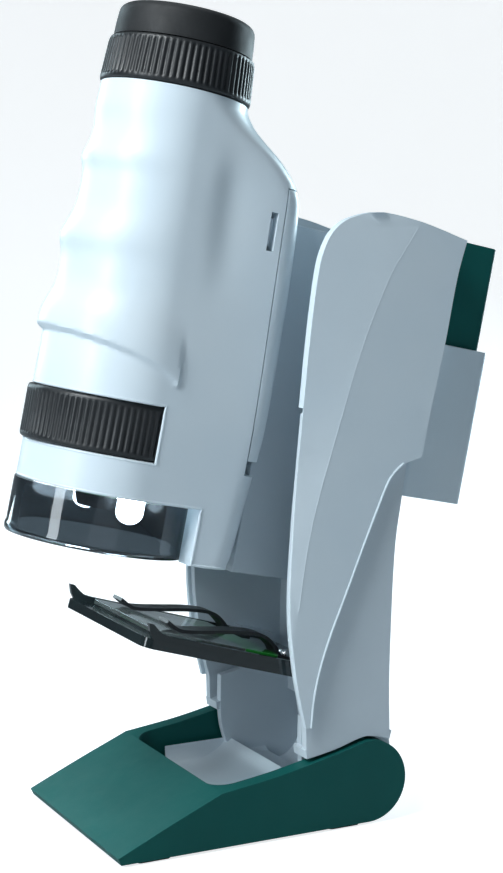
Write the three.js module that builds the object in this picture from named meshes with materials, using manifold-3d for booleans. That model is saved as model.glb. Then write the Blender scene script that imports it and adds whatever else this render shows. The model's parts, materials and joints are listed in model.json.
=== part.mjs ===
// Kids microscope: a hand-held tube docked on a tilting tower with a forked base.
// Millimetres. X runs across the object, Y from the toe of the base to its back, Z up.
import * as THREE from 'three';
import { mergeVertices } from 'three/addons/utils/BufferGeometryUtils.js';
import Module from 'manifold-3d';

const wasm = await Module();
wasm.setup();

// ---------------------------------------------------------------- driving sizes
const GAP = 0.3; // between pieces that touch on the real object
const WALL = 2; // moulded walls of the tower
const FAR = 40; // past every face of the tube, for the tools that cut it
const DEG = Math.PI / 180;

const BASE_WIDTH = 54;
const ARM_THICKNESS = 4;
const BASE_UNDER = 0.6; // underside of the fork, above the table
const TOE_EDGE = 2.2; // height of the front edge of the toe
const TOE_LENGTH = 25; // from the front edge to the opening between the arms
const TOE_HEIGHT = 13; // height of the toe where the arms begin
const PIVOT_Y = 62.5;
const PIVOT_Z = 10.2;
const ARM_END_RADIUS = PIVOT_Z - BASE_UNDER;
const PIVOT_RADIUS = 4;
const PIVOT_ENGAGEMENT = 2.3; // how far each pivot boss reaches into an arm

const TUBE_LEAN = 11.7 * DEG; // lean of the optical axis from the vertical
const AXIS_Y = -7.6; // where the optical axis meets the table
const STAGE_SLOPE = 16.5 * DEG; // the stage falls towards the tower

const TOWER_WIDTH = BASE_WIDTH + 1; // the cheeks stand just outside the arms
const SHELL_WALL = 1.3; // cheeks of the upper shell where they lap over the column
const SHELL_RIM = 3.2; // cheeks of the upper shell above the column

const STAGE_THICKNESS = 2.2;
const STAGE_FRONT_Y = 8.5;
const STAGE_FRONT_Z = 49;

const RING_RADIUS = 20.6; // focus ring
const RING_LOW = 88.6; // heights along the optical axis
const RING_HIGH = 100.4;
const TIP_LOW = 67.4;
const TIP_HIGH = 79.6;
const TIP_RADIUS = 20.4;
const NECK_TOP = 168.8;
const CAP_RADIUS = 16.3;
const EYECUP_TOP = 186.6;

// ---------------------------------------------------------------- solid helpers
function toSolid(geometry) {
  const clean = geometry.clone();
  clean.deleteAttribute('normal');
  clean.deleteAttribute('uv');
  const merged = mergeVertices(clean, 1e-4);
  const mesh = new wasm.Mesh({
    numProp: 3,
    vertProperties: new Float32Array(merged.attributes.position.array),
    triVerts: new Uint32Array(merged.index.array),
  });
  return new wasm.Manifold(mesh);
}

function toGeometry(solid) {
  const mesh = solid.getMesh();
  const geometry = new THREE.BufferGeometry();
  const positions = new Float32Array(mesh.vertProperties);
  geometry.setAttribute('position', new THREE.BufferAttribute(positions, 3));
  geometry.setIndex(new THREE.BufferAttribute(new Uint32Array(mesh.triVerts), 1));
  geometry.computeVertexNormals();
  return geometry;
}

function join(first, ...others) {
  return others.reduce((sum, other) => sum.add(other), first);
}

function cut(body, ...tools) {
  return tools.reduce((rest, tool) => rest.subtract(tool), body);
}

// A geometry moved and turned the way a three.js object is.
function placed(geometry, { x = 0, y = 0, z = 0, rx = 0, ry = 0, rz = 0 } = {}) {
  const turn = new THREE.Euler(rx, ry, rz);
  const matrix = new THREE.Matrix4().makeRotationFromEuler(turn);
  matrix.setPosition(x, y, z);
  return geometry.clone().applyMatrix4(matrix);
}

function box(x0, x1, y0, y1, z0, z1) {
  const geometry = new THREE.BoxGeometry(x1 - x0, y1 - y0, z1 - z0);
  geometry.translate((x0 + x1) / 2, (y0 + y1) / 2, (z0 + z1) / 2);
  return toSolid(geometry);
}

function shapeOf(points) {
  return new THREE.Shape(points.map(([u, v]) => new THREE.Vector2(u, v)));
}

// An outline in the Y-Z plane, pushed along X from x0 to x1.
function sidePrism(points, x0, x1) {
  const geometry = new THREE.ExtrudeGeometry(shapeOf(points), {
    depth: x1 - x0,
    bevelEnabled: false,
  });
  const axes = new THREE.Matrix4().makeBasis(
    new THREE.Vector3(0, 1, 0),
    new THREE.Vector3(0, 0, 1),
    new THREE.Vector3(1, 0, 0),
  );
  geometry.applyMatrix4(axes);
  geometry.translate(x0, 0, 0);
  return toSolid(geometry);
}

// The same outline on both sides of the middle plane, from |x| = inner to |x| = outer.
function mirroredPrism(points, inner, outer) {
  return join(sidePrism(points, inner, outer), sidePrism(points, -outer, -inner));
}

// An outline in the X-Y plane, pushed along Z from z0 to z1.
function plate(points, z0, z1) {
  const geometry = new THREE.ExtrudeGeometry(shapeOf(points), {
    depth: z1 - z0,
    bevelEnabled: false,
  });
  geometry.translate(0, 0, z0);
  return toSolid(geometry);
}

function roundedRectangle(halfX, y0, y1, radius, steps = 4) {
  const corners = [
    [halfX - radius, y1 - radius, 0],
    [-halfX + radius, y1 - radius, 90],
    [-halfX + radius, y0 + radius, 180],
    [halfX - radius, y0 + radius, 270],
  ];
  const points = [];
  for (const [cx, cy, start] of corners) {
    for (let step = 0; step <= steps; step += 1) {
      const angle = (start + (90 * step) / steps) * DEG;
      points.push([cx + radius * Math.cos(angle), cy + radius * Math.sin(angle)]);
    }
  }
  return points;
}

// A turned solid about the Z axis. The profile lists [radius, height] pairs.
function turned(profile, segments = 48) {
  const points = profile.map(([radius, height]) => new THREE.Vector2(radius, height));
  const geometry = new THREE.LatheGeometry(points, segments);
  geometry.rotateX(Math.PI / 2);
  return toSolid(geometry);
}

// A plain ring or disc about the Z axis.
function disc(outer, z0, z1, segments = 48) {
  return turned([[0, z0], [outer, z0], [outer, z1], [0, z1]], segments);
}

function ring(inner, outer, z0, z1, segments = 48) {
  const profile = [[inner, z0], [outer, z0], [outer, z1], [inner, z1], [inner, z0]];
  return turned(profile, segments);
}

// Rods along X, for pivots and rivets seen from the side.
function rodAlongX(radius, x0, x1, y, z, segments = 32) {
  const geometry = new THREE.CylinderGeometry(radius, radius, x1 - x0, segments);
  return toSolid(placed(geometry, { x: (x0 + x1) / 2, y, z, rz: Math.PI / 2 }));
}

function rodAlongY(radius, y0, y1, x, z, segments = 24) {
  const geometry = new THREE.CylinderGeometry(radius, radius, y1 - y0, segments);
  return toSolid(placed(geometry, { x, y: (y0 + y1) / 2, z }));
}

function rodAlongZ(radius, z0, z1, x, y, segments = 32) {
  const geometry = new THREE.CylinderGeometry(radius, radius, z1 - z0, segments);
  return toSolid(placed(geometry, { x, y, z: (z0 + z1) / 2, rx: Math.PI / 2 }));
}

// Closed solid through a stack of outlines with equal point counts, bottom first.
function loft(outlines) {
  const count = outlines[0].length;
  const positions = outlines.flat(2);
  const indices = [];
  for (let level = 0; level + 1 < outlines.length; level += 1) {
    for (let step = 0; step < count; step += 1) {
      const a = level * count + step;
      const b = level * count + ((step + 1) % count);
      indices.push(a, b, b + count, a, b + count, a + count);
    }
  }
  const top = (outlines.length - 1) * count;
  for (let step = 1; step + 1 < count; step += 1) {
    indices.push(0, step + 1, step);
    indices.push(top, top + step, top + step + 1);
  }
  const geometry = new THREE.BufferGeometry();
  geometry.setAttribute('position', new THREE.Float32BufferAttribute(positions, 3));
  geometry.setIndex(indices);
  return toSolid(geometry);
}

// Points of a polyline moved sideways; positive distances go to the left of travel.
function offsetLine(points, distance) {
  return points.map((point, index) => {
    const before = points[Math.max(index - 1, 0)];
    const after = points[Math.min(index + 1, points.length - 1)];
    const along = new THREE.Vector2(after[0] - before[0], after[1] - before[1]);
    along.normalize();
    return [point[0] - along.y * distance, point[1] + along.x * distance];
  });
}

// A wall of even thickness along a polyline, as a closed outline.
function band(points, thickness) {
  return [...points, ...offsetLine(points, thickness).reverse()];
}

function arc(cy, cz, radius, from, to, steps) {
  const points = [];
  for (let step = 0; step <= steps; step += 1) {
    const angle = (from + ((to - from) * step) / steps) * DEG;
    points.push([cy + radius * Math.cos(angle), cz + radius * Math.sin(angle)]);
  }
  return points;
}

// Straight interpolation in a table of [position, value] rows.
function along(table, position) {
  const last = table.length - 1;
  if (position <= table[0][0]) return table[0][1];
  if (position >= table[last][0]) return table[last][1];
  const upper = table.findIndex(([start]) => start > position);
  const [p0, v0] = table[upper - 1];
  const [p1, v1] = table[upper];
  return v0 + ((v1 - v0) * (position - p0)) / (p1 - p0);
}

// ---------------------------------------------------------------- materials
const MATERIALS = {
  white: { color: 0xdfe9ee, roughness: 0.42, metalness: 0 },
  green: { color: 0x14534f, roughness: 0.45, metalness: 0 },
  black: { color: 0x1c1f21, roughness: 0.5, metalness: 0 },
  rubber: { color: 0x202224, roughness: 0.85, metalness: 0 },
  clear: { color: 0x8fa0a6, roughness: 0.12, metalness: 0 },
  smoke: { color: 0x23282a, roughness: 0.15, metalness: 0 },
  glass: { color: 0xbfd4de, roughness: 0.05, metalness: 0 },
  steel: { color: 0xa9adb0, roughness: 0.35, metalness: 1 },
  brass: { color: 0xb08d4a, roughness: 0.4, metalness: 1 },
  board: { color: 0x1f5a3a, roughness: 0.6, metalness: 0 },
  lamp: { color: 0xf6fbff, roughness: 0.2, metalness: 0 },
  cell: { color: 0x2f4f7d, roughness: 0.4, metalness: 0 },
};

const root = new THREE.Group();
root.name = 'kids_microscope';

function addTo(group, name, solid, material, place = {}) {
  const mesh = new THREE.Mesh(
    toGeometry(solid),
    new THREE.MeshStandardMaterial(MATERIALS[material]),
  );
  mesh.name = name;
  mesh.position.set(place.x ?? 0, place.y ?? 0, place.z ?? 0);
  mesh.rotation.set(place.rx ?? 0, place.ry ?? 0, place.rz ?? 0);
  group.add(mesh);
  return mesh;
}

// Groups for the leaning tube and the sloping stage. Inside the tube group
// X is across, Y points away from the front of the tube and Z up the optical axis.
const tube = new THREE.Group();
tube.position.set(0, AXIS_Y, 0);
tube.rotation.set(-TUBE_LEAN, 0, 0);
root.add(tube);

const stage = new THREE.Group();
stage.position.set(0, STAGE_FRONT_Y, STAGE_FRONT_Z);
stage.rotation.set(-STAGE_SLOPE, 0, 0);
root.add(stage);

// ---------------------------------------------------------------- base
const halfBase = BASE_WIDTH / 2;
const armInner = halfBase - ARM_THICKNESS;
const FOOT_LENGTH = 8;
const FOOT_WIDTH = 2.4;
const FOOT_HEIGHT = 1.2;
const FOOT_X = halfBase - ARM_THICKNESS / 2;
const FOOT_FRONT_Y = 9;
const FOOT_REAR_Y = PIVOT_Y - 6;
const TOE_WALL = 2;
const FORK_CORNER = 9; // rounding of the opening between the arms
const HOLLOW_FRONT = 7; // the toe is solid in front of this

function makeFork() {
  const armTop = [
    [PIVOT_Y - 7.5, PIVOT_Z + 7.9],
    [PIVOT_Y - 14.5, PIVOT_Z + 6.4],
    [PIVOT_Y - 24.5, PIVOT_Z + 4.5],
    [TOE_LENGTH, TOE_HEIGHT],
  ];
  const outline = [
    [0.8, BASE_UNDER],
    [PIVOT_Y, BASE_UNDER],
    ...arc(PIVOT_Y, PIVOT_Z, ARM_END_RADIUS, -90, 94, 14).slice(1),
    ...armTop,
    [0, TOE_EDGE],
  ];
  let fork = sidePrism(outline, -halfBase, halfBase);
  const opening = roundedRectangle(armInner, TOE_LENGTH, PIVOT_Y + 30, FORK_CORNER);
  fork = cut(fork, plate(opening, -1, PIVOT_Z * 3));
  const rise = (TOE_HEIGHT - TOE_EDGE) / TOE_LENGTH;
  const hollow = [
    [HOLLOW_FRONT, -1],
    [TOE_LENGTH - TOE_WALL, -1],
    [TOE_LENGTH - TOE_WALL, TOE_HEIGHT - 1.5 * TOE_WALL],
    [HOLLOW_FRONT, TOE_EDGE + rise * HOLLOW_FRONT - TOE_WALL],
  ];
  fork = cut(fork, sidePrism(hollow, -armInner + 1, armInner - 1));
  const socket = PIVOT_RADIUS + GAP;
  const depth = PIVOT_ENGAGEMENT + GAP;
  for (const side of [-1, 1]) {
    const x0 = side > 0 ? armInner - 1 : -armInner - depth;
    fork = cut(fork, rodAlongX(socket, x0, x0 + depth + 1, PIVOT_Y, PIVOT_Z));
    for (const y of [FOOT_FRONT_Y, FOOT_REAR_Y]) {
      const x = side * FOOT_X;
      const reach = FOOT_LENGTH / 2 + GAP;
      const across = FOOT_WIDTH / 2 + GAP;
      const pocket = box(x - across, x + across, y - reach, y + reach, -1, FOOT_HEIGHT + GAP);
      fork = cut(fork, pocket);
    }
  }
  return fork;
}

addTo(root, 'base_fork', makeFork(), 'green');
for (const [place, side, y] of [
  ['front_left', -1, FOOT_FRONT_Y],
  ['front_right', 1, FOOT_FRONT_Y],
  ['rear_left', -1, FOOT_REAR_Y],
  ['rear_right', 1, FOOT_REAR_Y],
]) {
  const pad = roundedRectangle(FOOT_WIDTH / 2, -FOOT_LENGTH / 2, FOOT_LENGTH / 2, 1, 3);
  addTo(root, `foot_${place}`, plate(pad, 0, FOOT_HEIGHT), 'rubber', { x: side * FOOT_X, y });
}

// ---------------------------------------------------------------- tower
const halfTower = TOWER_WIDTH / 2;
const columnOuter = halfTower - SHELL_WALL - GAP;
const columnInner = columnOuter - WALL;
const WASHER_THICKNESS = 0.6;
const WASHER_RADIUS = 7.5;
const SCREW_X = [-22, 22]; // two screws hold the shell to the column from behind
const SCREW_Z = 90;
const SCREW_SHANK = 1.1;
const SCREW_HEAD = 2.3;
const lugOuter = armInner - WASHER_THICKNESS - 2 * GAP;
const lugInner = lugOuter - WALL;

// Front edge of both cheeks from the foot up, and the back edges.
const SHELL_FRONT = [
  [45.6, 25],
  [44.2, 31],
  [42.7, 39.2],
  [41.6, 52],
  [42.6, 70.5],
  [44.6, 91.4],
  [46.6, 110.8],
  [48.6, 125.3],
  [50.2, 131.5],
  [53, 136],
  [57.5, 138.6],
  [64.6, 139.6],
  [73.4, 137.8],
  [80.3, 135.6],
];
const SHELL_BACK = [
  [86.8, 133.2],
  [84.2, 124.7],
  [81.1, 109.7],
  [77.8, 96],
  [75.2, 84.4],
];
const SHELL_LOW = [
  [70.8, 83.3],
  [68.2, 81.2],
  [66.3, 78.4],
  [63.8, 72.9],
  [60.8, 66.1],
  [56.9, 56.8],
  [52.1, 45.7],
  [49.4, 38],
  [47.9, 31.5],
  [47.2, 25],
];
const COLUMN_BACK = [
  [74.4, 96],
  [72.4, 84],
  [70.9, 74.6],
  [69.2, 61.9],
  [68.2, 36.2],
  [68.4, 19.4],
];
const COLUMN_TOP_FRONT = [46.5, 96];
// Where the column steps in, just above the arms of the base.
const SHELF = [
  [46.6, 17.4],
  [50, 17.9],
  [55, 18.9],
  [59.5, 20.2],
  [63, 20.6],
  [68.4, 19.2],
];

function screwHole(x) {
  return rodAlongY(SCREW_SHANK + GAP, PIVOT_Y, PIVOT_Y + 35, x, SCREW_Z);
}

// How far back an edge line lies at a height.
function edgeAt(line, height) {
  const byHeight = line.map(([y, z]) => [z, y]).sort(([low], [high]) => low - high);
  return along(byHeight, height);
}

function makeShell() {
  const cheek = [...SHELL_FRONT, ...SHELL_BACK, ...SHELL_LOW].reverse();
  let shell = mirroredPrism(cheek, halfTower - SHELL_WALL, halfTower);
  const columnTop = COLUMN_TOP_FRONT[1] + 1;
  const above = [...SHELL_FRONT, ...SHELL_BACK].filter(([, z]) => z > columnTop);
  const backAtTop = edgeAt(SHELL_BACK, columnTop);
  const frontAtTop = edgeAt(SHELL_FRONT, columnTop);
  const upper = [[backAtTop, columnTop], [frontAtTop, columnTop], ...above];
  const rimInner = halfTower - SHELL_RIM;
  shell = join(shell, mirroredPrism(upper.reverse(), rimInner, halfTower - SHELL_WALL / 2));
  const back = band(SHELL_BACK, -WALL);
  shell = join(shell, sidePrism(back, -halfTower + 0.2, halfTower - 0.2));
  for (const x of SCREW_X) {
    shell = cut(shell, screwHole(x));
  }
  return shell;
}

// The outer face of each cheek falls away from a curved crease to the front edge.
const CREASE = [
  [36.8, 25],
  [39.2, 31],
  [41.4, 39.2],
  [43.6, 52],
  [46.8, 70.5],
  [53.2, 91.4],
  [59.8, 110.8],
  [66.4, 125.3],
  [70.5, 131.5],
  [73.6, 136],
  [75.6, 139.5],
  [76.4, 141],
];
const FACET_DROP = 1.0; // how far the front edge lies inside the cheek face

function facetCutter(side) {
  const outlines = CREASE.map(([creaseY, z], index) => {
    const frontY = SHELL_FRONT[index][0];
    const slope = FACET_DROP / Math.max(creaseY - frontY, 6);
    const reach = 12;
    const far = frontY - reach;
    const points = [
      [side * halfTower, creaseY, z],
      [side * (halfTower + 2), creaseY, z],
      [side * (halfTower + 2), far, z],
      [side * (halfTower - slope * (creaseY - far)), far, z],
    ];
    return side > 0 ? points.reverse() : points;
  });
  return loft(outlines);
}

function makeColumn() {
  const front = SHELL_FRONT.filter(([, z]) => z < COLUMN_TOP_FRONT[1]);
  const inset = front.map(([y, z]) => [y + 0.8, z]);
  const cheek = [...inset, COLUMN_TOP_FRONT, ...COLUMN_BACK, ...SHELF.toReversed()].reverse();
  let column = mirroredPrism(cheek, columnInner, columnOuter);
  const [shelfBackY, shelfBackZ] = SHELF.at(-1);
  const backLine = [...COLUMN_BACK.slice(0, -1), [shelfBackY - 0.1, shelfBackZ + 1.4]];
  column = join(column, sidePrism(band(backLine, -WALL), -columnOuter + 0.2, columnOuter - 0.2));
  const shelf = band(SHELF, WALL);
  column = join(column, mirroredPrism(shelf.reverse(), lugInner + 0.2, columnOuter - 0.1));

  // The foot between the arms: two lugs, a curved floor and a short front lip.
  const lugArc = arc(PIVOT_Y, PIVOT_Z, PIVOT_Z - 1, -90, 8, 8);
  const footFront = [
    [45.6, 18.7],
    [47, 12.8],
    [50.1, 6.4],
    [54.2, 2.9],
    [58.4, 1.5],
  ];
  const lug = [[45.4, 26], ...footFront, ...lugArc, [70.4, 20], [68.3, 30]];
  column = join(column, mirroredPrism(lug, lugInner, lugOuter));
  const floorLine = [...footFront.slice(2), ...lugArc, [70.4, 20], [68.4, 30]];
  column = join(column, sidePrism(band(floorLine, WALL), -lugOuter + 0.2, lugOuter - 0.2));
  const lipFront = TOE_LENGTH + FORK_CORNER - 3.5;
  const lip = [[lipFront, 3.6], [50.5, 4.4], [50.5, 6.4], [40, 5.6], [lipFront, 5.2]];
  column = join(column, sidePrism(lip, -lugOuter + 0.4, lugOuter - 0.4));
  for (const side of [-1, 1]) {
    const reach = armInner + PIVOT_ENGAGEMENT;
    const x0 = side > 0 ? lugInner + 0.2 : -reach;
    const length = reach - lugInner - 0.2;
    column = join(column, rodAlongX(PIVOT_RADIUS, x0, x0 + length, PIVOT_Y, PIVOT_Z));
  }
  return column;
}

// Ledges above and below each edge of the stage, made in the stage group's own axes.
const LEDGE_FROM = 46;
const STAGE_LENGTH = 56;
const halfStage = columnInner - GAP;
const LEDGE = 1.6; // thickness
const LEDGE_REACH = 4; // how far each ledge comes in from the cheek

function makeLedges() {
  const low = -STAGE_THICKNESS - GAP - LEDGE;
  const parts = [];
  const root = columnInner + 0.5;
  for (const side of [-1, 1]) {
    const x0 = side > 0 ? columnInner - LEDGE_REACH : -root;
    const x1 = side > 0 ? root : -columnInner + LEDGE_REACH;
    parts.push(box(x0, x1, LEDGE_FROM, STAGE_LENGTH, low, low + LEDGE));
    parts.push(box(x0, x1, LEDGE_FROM, STAGE_LENGTH, GAP, GAP + LEDGE));
  }
  return parts;
}

const stageMatrix = new THREE.Matrix4()
  .makeRotationX(-STAGE_SLOPE)
  .setPosition(0, STAGE_FRONT_Y, STAGE_FRONT_Z);

function inWorld(solid, matrix) {
  return toSolid(toGeometry(solid).applyMatrix4(matrix));
}

let column = join(makeColumn(), ...makeLedges().map((ledge) => inWorld(ledge, stageMatrix)));
for (const x of SCREW_X) {
  column = cut(column, screwHole(x));
}
addTo(root, 'tower_column', column, 'white');
addTo(root, 'tower_shell', cut(makeShell(), facetCutter(-1), facetCutter(1)), 'white');

const washerPlaces = [
  ['hinge_washer_left', -armInner + GAP],
  ['hinge_washer_right', armInner - GAP - WASHER_THICKNESS],
];
for (const [name, x] of washerPlaces) {
  const washer = ring(PIVOT_RADIUS + GAP, WASHER_RADIUS, 0, WASHER_THICKNESS, 32);
  addTo(root, name, washer, 'steel', { x, y: PIVOT_Y, z: PIVOT_Z, ry: 90 * DEG });
}

// Screws come in from behind, square to the back wall at their height.
const screwBackY = edgeAt(SHELL_BACK, SCREW_Z);
for (const [index, x] of SCREW_X.entries()) {
  const shank = disc(SCREW_SHANK, -7, 0.2, 16);
  const half = SCREW_HEAD / 2;
  const head = turned([[0, 0], [SCREW_HEAD, 0], [SCREW_HEAD, 0.6], [half, 1.3], [0, 1.3]], 24);
  const slotLong = box(-half, half, -0.3, 0.3, 0.7, 2);
  const slotCross = box(-0.3, 0.3, -half, half, 0.7, 2);
  const screw = cut(join(shank, head), slotLong, slotCross);
  const place = { x, y: screwBackY + GAP + 0.6, z: SCREW_Z, rx: -90 * DEG };
  addTo(root, `tower_screw_${index + 1}`, screw, 'steel', place);
}

// ---------------------------------------------------------------- tube saddle
// A hollow rib on the back wall with a T slot that the tube hangs in.
const SADDLE_FRONT = 30.3;
const SADDLE_BACK = 58.4;
const SADDLE_LOW = 66;
const SADDLE_HIGH = 146;
const SADDLE_HALF = 10.5;
const SLOT_HALF = 3.4;
const HEAD_HALF = 6;
const HEAD_FRONT = 33.2;
const HEAD_BACK = 35.8;
const BODY_BACK_IN = 24; // inside the back wall of the tube
const TONGUE_LOW = 70;
const TONGUE_HIGH = 88;

function makeSaddle() {
  const web = 2;
  let saddle = box(-SADDLE_HALF, SADDLE_HALF, SADDLE_FRONT, SADDLE_BACK, SADDLE_LOW, SADDLE_HIGH);
  const slotLow = TONGUE_LOW - GAP;
  const head = HEAD_HALF + GAP;
  saddle = cut(
    saddle,
    box(-SLOT_HALF, SLOT_HALF, SADDLE_FRONT - 1, HEAD_FRONT, slotLow, SADDLE_HIGH + 1),
    box(-head, head, HEAD_FRONT - GAP, HEAD_BACK + GAP, slotLow, SADDLE_HIGH + 1),
    box(
      -SADDLE_HALF + web,
      SADDLE_HALF - web,
      HEAD_BACK + GAP + web,
      SADDLE_BACK + 1,
      SADDLE_LOW + web,
      SADDLE_HIGH - web,
    ),
  );
  return saddle;
}
addTo(tube, 'tube_saddle', makeSaddle(), 'white');

// ---------------------------------------------------------------- storage case
const SLEEVE_HALF = 18;
const SLEEVE_FRONT = 66;
const SLEEVE_BACK = 83.6;
const SLEEVE_LOW = 89.6;
const SLEEVE_HIGH = 126;
const SLEEVE_WALL = 1.5;
const CASE_HIGH = 150.5;

function makeSleeve() {
  const outer = roundedRectangle(SLEEVE_HALF, SLEEVE_FRONT, SLEEVE_BACK, 2);
  const front = SLEEVE_FRONT + SLEEVE_WALL;
  const back = SLEEVE_BACK - SLEEVE_WALL;
  const inner = roundedRectangle(SLEEVE_HALF - SLEEVE_WALL, front, back, 1);
  const floor = SLEEVE_LOW + SLEEVE_WALL;
  const sleeve = plate(outer, SLEEVE_LOW, SLEEVE_HIGH);
  const drain = box(-5, 5, SLEEVE_FRONT + 5, SLEEVE_BACK - 5, SLEEVE_LOW - 1, floor + 1);
  return cut(sleeve, plate(inner, floor, SLEEVE_HIGH + 1), drain);
}

function makeCase() {
  const half = SLEEVE_HALF - SLEEVE_WALL - GAP;
  const front = SLEEVE_FRONT + SLEEVE_WALL + GAP;
  const back = SLEEVE_BACK - SLEEVE_WALL - GAP;
  const low = SLEEVE_LOW + SLEEVE_WALL + GAP;
  const body = plate(roundedRectangle(half, front, back, 1), low, CASE_HIGH);
  const room = roundedRectangle(half - 1.6, front + 1.6, back - 1.6, 1);
  const rib = box(-2, 2, back - 0.3, back + 1, SLEEVE_HIGH + 1, CASE_HIGH);
  return join(cut(body, plate(room, low + 1.6, CASE_HIGH + 1)), rib);
}
addTo(tube, 'rear_sleeve', makeSleeve(), 'white');
addTo(tube, 'storage_case', makeCase(), 'green');

// ---------------------------------------------------------------- stage
const CLIP_X = 13;
const CLIP_WIDTH = 5;
const CLIP_THICKNESS = 0.8;
const RIVET_Y = 41;
const RIVET_SHANK = 1.2;
const SLIDE_HALF = 19;
const SLIDE_FROM = 5;
const SLIDE_TO = 36;
const SLIDE_THICKNESS = 1.1;
const slideTop = GAP + SLIDE_THICKNESS;

const STAGE_CORNER = 3;
const RIM_WIDTH = 1.2;
const RIM_HEIGHT = 1.2; // stays under the clips when they swing out
const PROW_HEIGHT = 3.2; // the rims rise and reach forward at the front corners

function makeStage() {
  const outline = [
    [-halfStage, STAGE_CORNER],
    [-halfStage + STAGE_CORNER, 0],
    [halfStage - STAGE_CORNER, 0],
    [halfStage, STAGE_CORNER],
    [halfStage, STAGE_LENGTH],
    [-halfStage, STAGE_LENGTH],
  ];
  const rim = [
    [STAGE_CORNER, -STAGE_THICKNESS + 0.6],
    [LEDGE_FROM - 1, -STAGE_THICKNESS + 0.6],
    [LEDGE_FROM - 1, RIM_HEIGHT],
    [STAGE_CORNER + 2, RIM_HEIGHT],
    [STAGE_CORNER - 2, PROW_HEIGHT],
    [STAGE_CORNER - 3.4, PROW_HEIGHT],
  ];
  let body = plate(outline, -STAGE_THICKNESS, 0);
  body = join(body, mirroredPrism(rim, halfStage - RIM_WIDTH, halfStage - 0.05));
  for (const side of [-1, 1]) {
    const hole = rodAlongZ(RIVET_SHANK + GAP, -STAGE_THICKNESS - 1, 1, side * CLIP_X, RIVET_Y, 20);
    body = cut(body, hole);
  }
  return body;
}
addTo(stage, 'stage_plate', makeStage(), 'smoke');

// A bent spring strip: flat at the rivet, bowed, down on the slide, tip turned up.
function makeClip() {
  const seat = GAP;
  const line = [
    [RIVET_Y + 3, seat],
    [RIVET_Y - 2.6, seat],
    [RIVET_Y - 5, 2.4],
    [RIVET_Y - 8.5, 4.1],
    [RIVET_Y - 14, 3.9],
    [RIVET_Y - 21, 2.7],
    [RIVET_Y - 27, slideTop + GAP],
    [RIVET_Y - 30, slideTop + GAP],
    [RIVET_Y - 33, slideTop + 1.6],
  ];
  const strip = sidePrism(band(line, -CLIP_THICKNESS).reverse(), -CLIP_WIDTH / 2, CLIP_WIDTH / 2);
  return cut(strip, rodAlongZ(RIVET_SHANK + GAP, -1, 3, 0, RIVET_Y, 20));
}

function makeRivet() {
  const low = -STAGE_THICKNESS - GAP;
  const high = 2 * GAP + CLIP_THICKNESS;
  return turned([
    [0, low - 0.7],
    [1.9, low - 0.7],
    [2.1, low],
    [RIVET_SHANK, low],
    [RIVET_SHANK, high],
    [2.1, high],
    [1.7, high + 0.7],
    [0, high + 0.9],
  ], 24);
}

for (const [name, side] of [['left', -1], ['right', 1]]) {
  addTo(stage, `clip_${name}`, makeClip(), 'black', { x: side * CLIP_X });
  const place = { x: side * CLIP_X, y: RIVET_Y };
  addTo(stage, `clip_rivet_${name}`, makeRivet(), 'steel', place);
}
const slideOutline = roundedRectangle(SLIDE_HALF, SLIDE_FROM, SLIDE_TO, 1, 3);
addTo(stage, 'specimen_slide', plate(slideOutline, GAP, slideTop), 'clear');

// ---------------------------------------------------------------- tube body
// Outline of the tube at a height on the axis: round front, boxed back.
const FRONT_DEPTH = [
  [67.4, 19.6], [80, 19.5], [88, 19.4], [101, 19.4], [107, 19.4], [111.5, 20.4],
  [114, 21.1], [117, 21.1], [121, 20.2], [126, 19.5], [131, 19.4], [134, 19.7],
  [136, 19.5], [140, 18.5], [145, 17.9], [149, 17.7], [152, 18], [154, 17.7],
  [158, 17.1], [163, 16.9], [168.8, 16.6],
];
const GRIP_DEPTH = [
  [107, 0], [111, 0.1], [114, 0], [118, 0.4], [123, 1.1], [129, 1], [134, 0],
  [137, 0.5], [142, 1.1], [148, 0.9], [152, 0], [155, 0.5], [159, 0.7], [164, 0],
];
const HALF_WIDTH = [
  [67.4, 21], [80, 21.2], [96, 21.4], [108, 20.9], [120, 20], [135, 18.9],
  [150, 17.9], [158, 17.2], [164, 16.9], [168.8, 16.6],
];
const BACK_DEPTH = [
  [67.4, 25], [70, 25.6], [83, 26.8], [101, 28.4], [119, 28.9], [133, 29.2],
  [149, 28.8], [154.3, 27.2], [158.3, 24.4], [162, 20.6], [165, 18], [168.8, 16.6],
];
const SIDE_VALLEY = [[122, 0], [132, 0.5], [142, 0.9], [150, 0.9], [156, 0.3], [162, 0]];
const CORNER_RADIUS = [[67.4, 5], [150, 5.5], [158, 9], [164, 14], [168.8, 16.6]];

function backRadius(half, depth, corner, angle) {
  // Ray from the axis against a box with rounded back corners; angle 0 is the side.
  const dx = Math.cos(angle);
  const dy = Math.sin(angle);
  const cx = half - corner;
  const cy = depth - corner;
  const toCorner = dx * cx + dy * cy;
  const spare = toCorner * toCorner - (cx * cx + cy * cy - corner * corner);
  if (spare > 0) {
    const reach = toCorner + Math.sqrt(spare);
    if (dx * reach >= cx && dy * reach >= cy) return reach;
  }
  return Math.min(half / Math.max(dx, 1e-6), depth / Math.max(dy, 1e-6));
}

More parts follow.
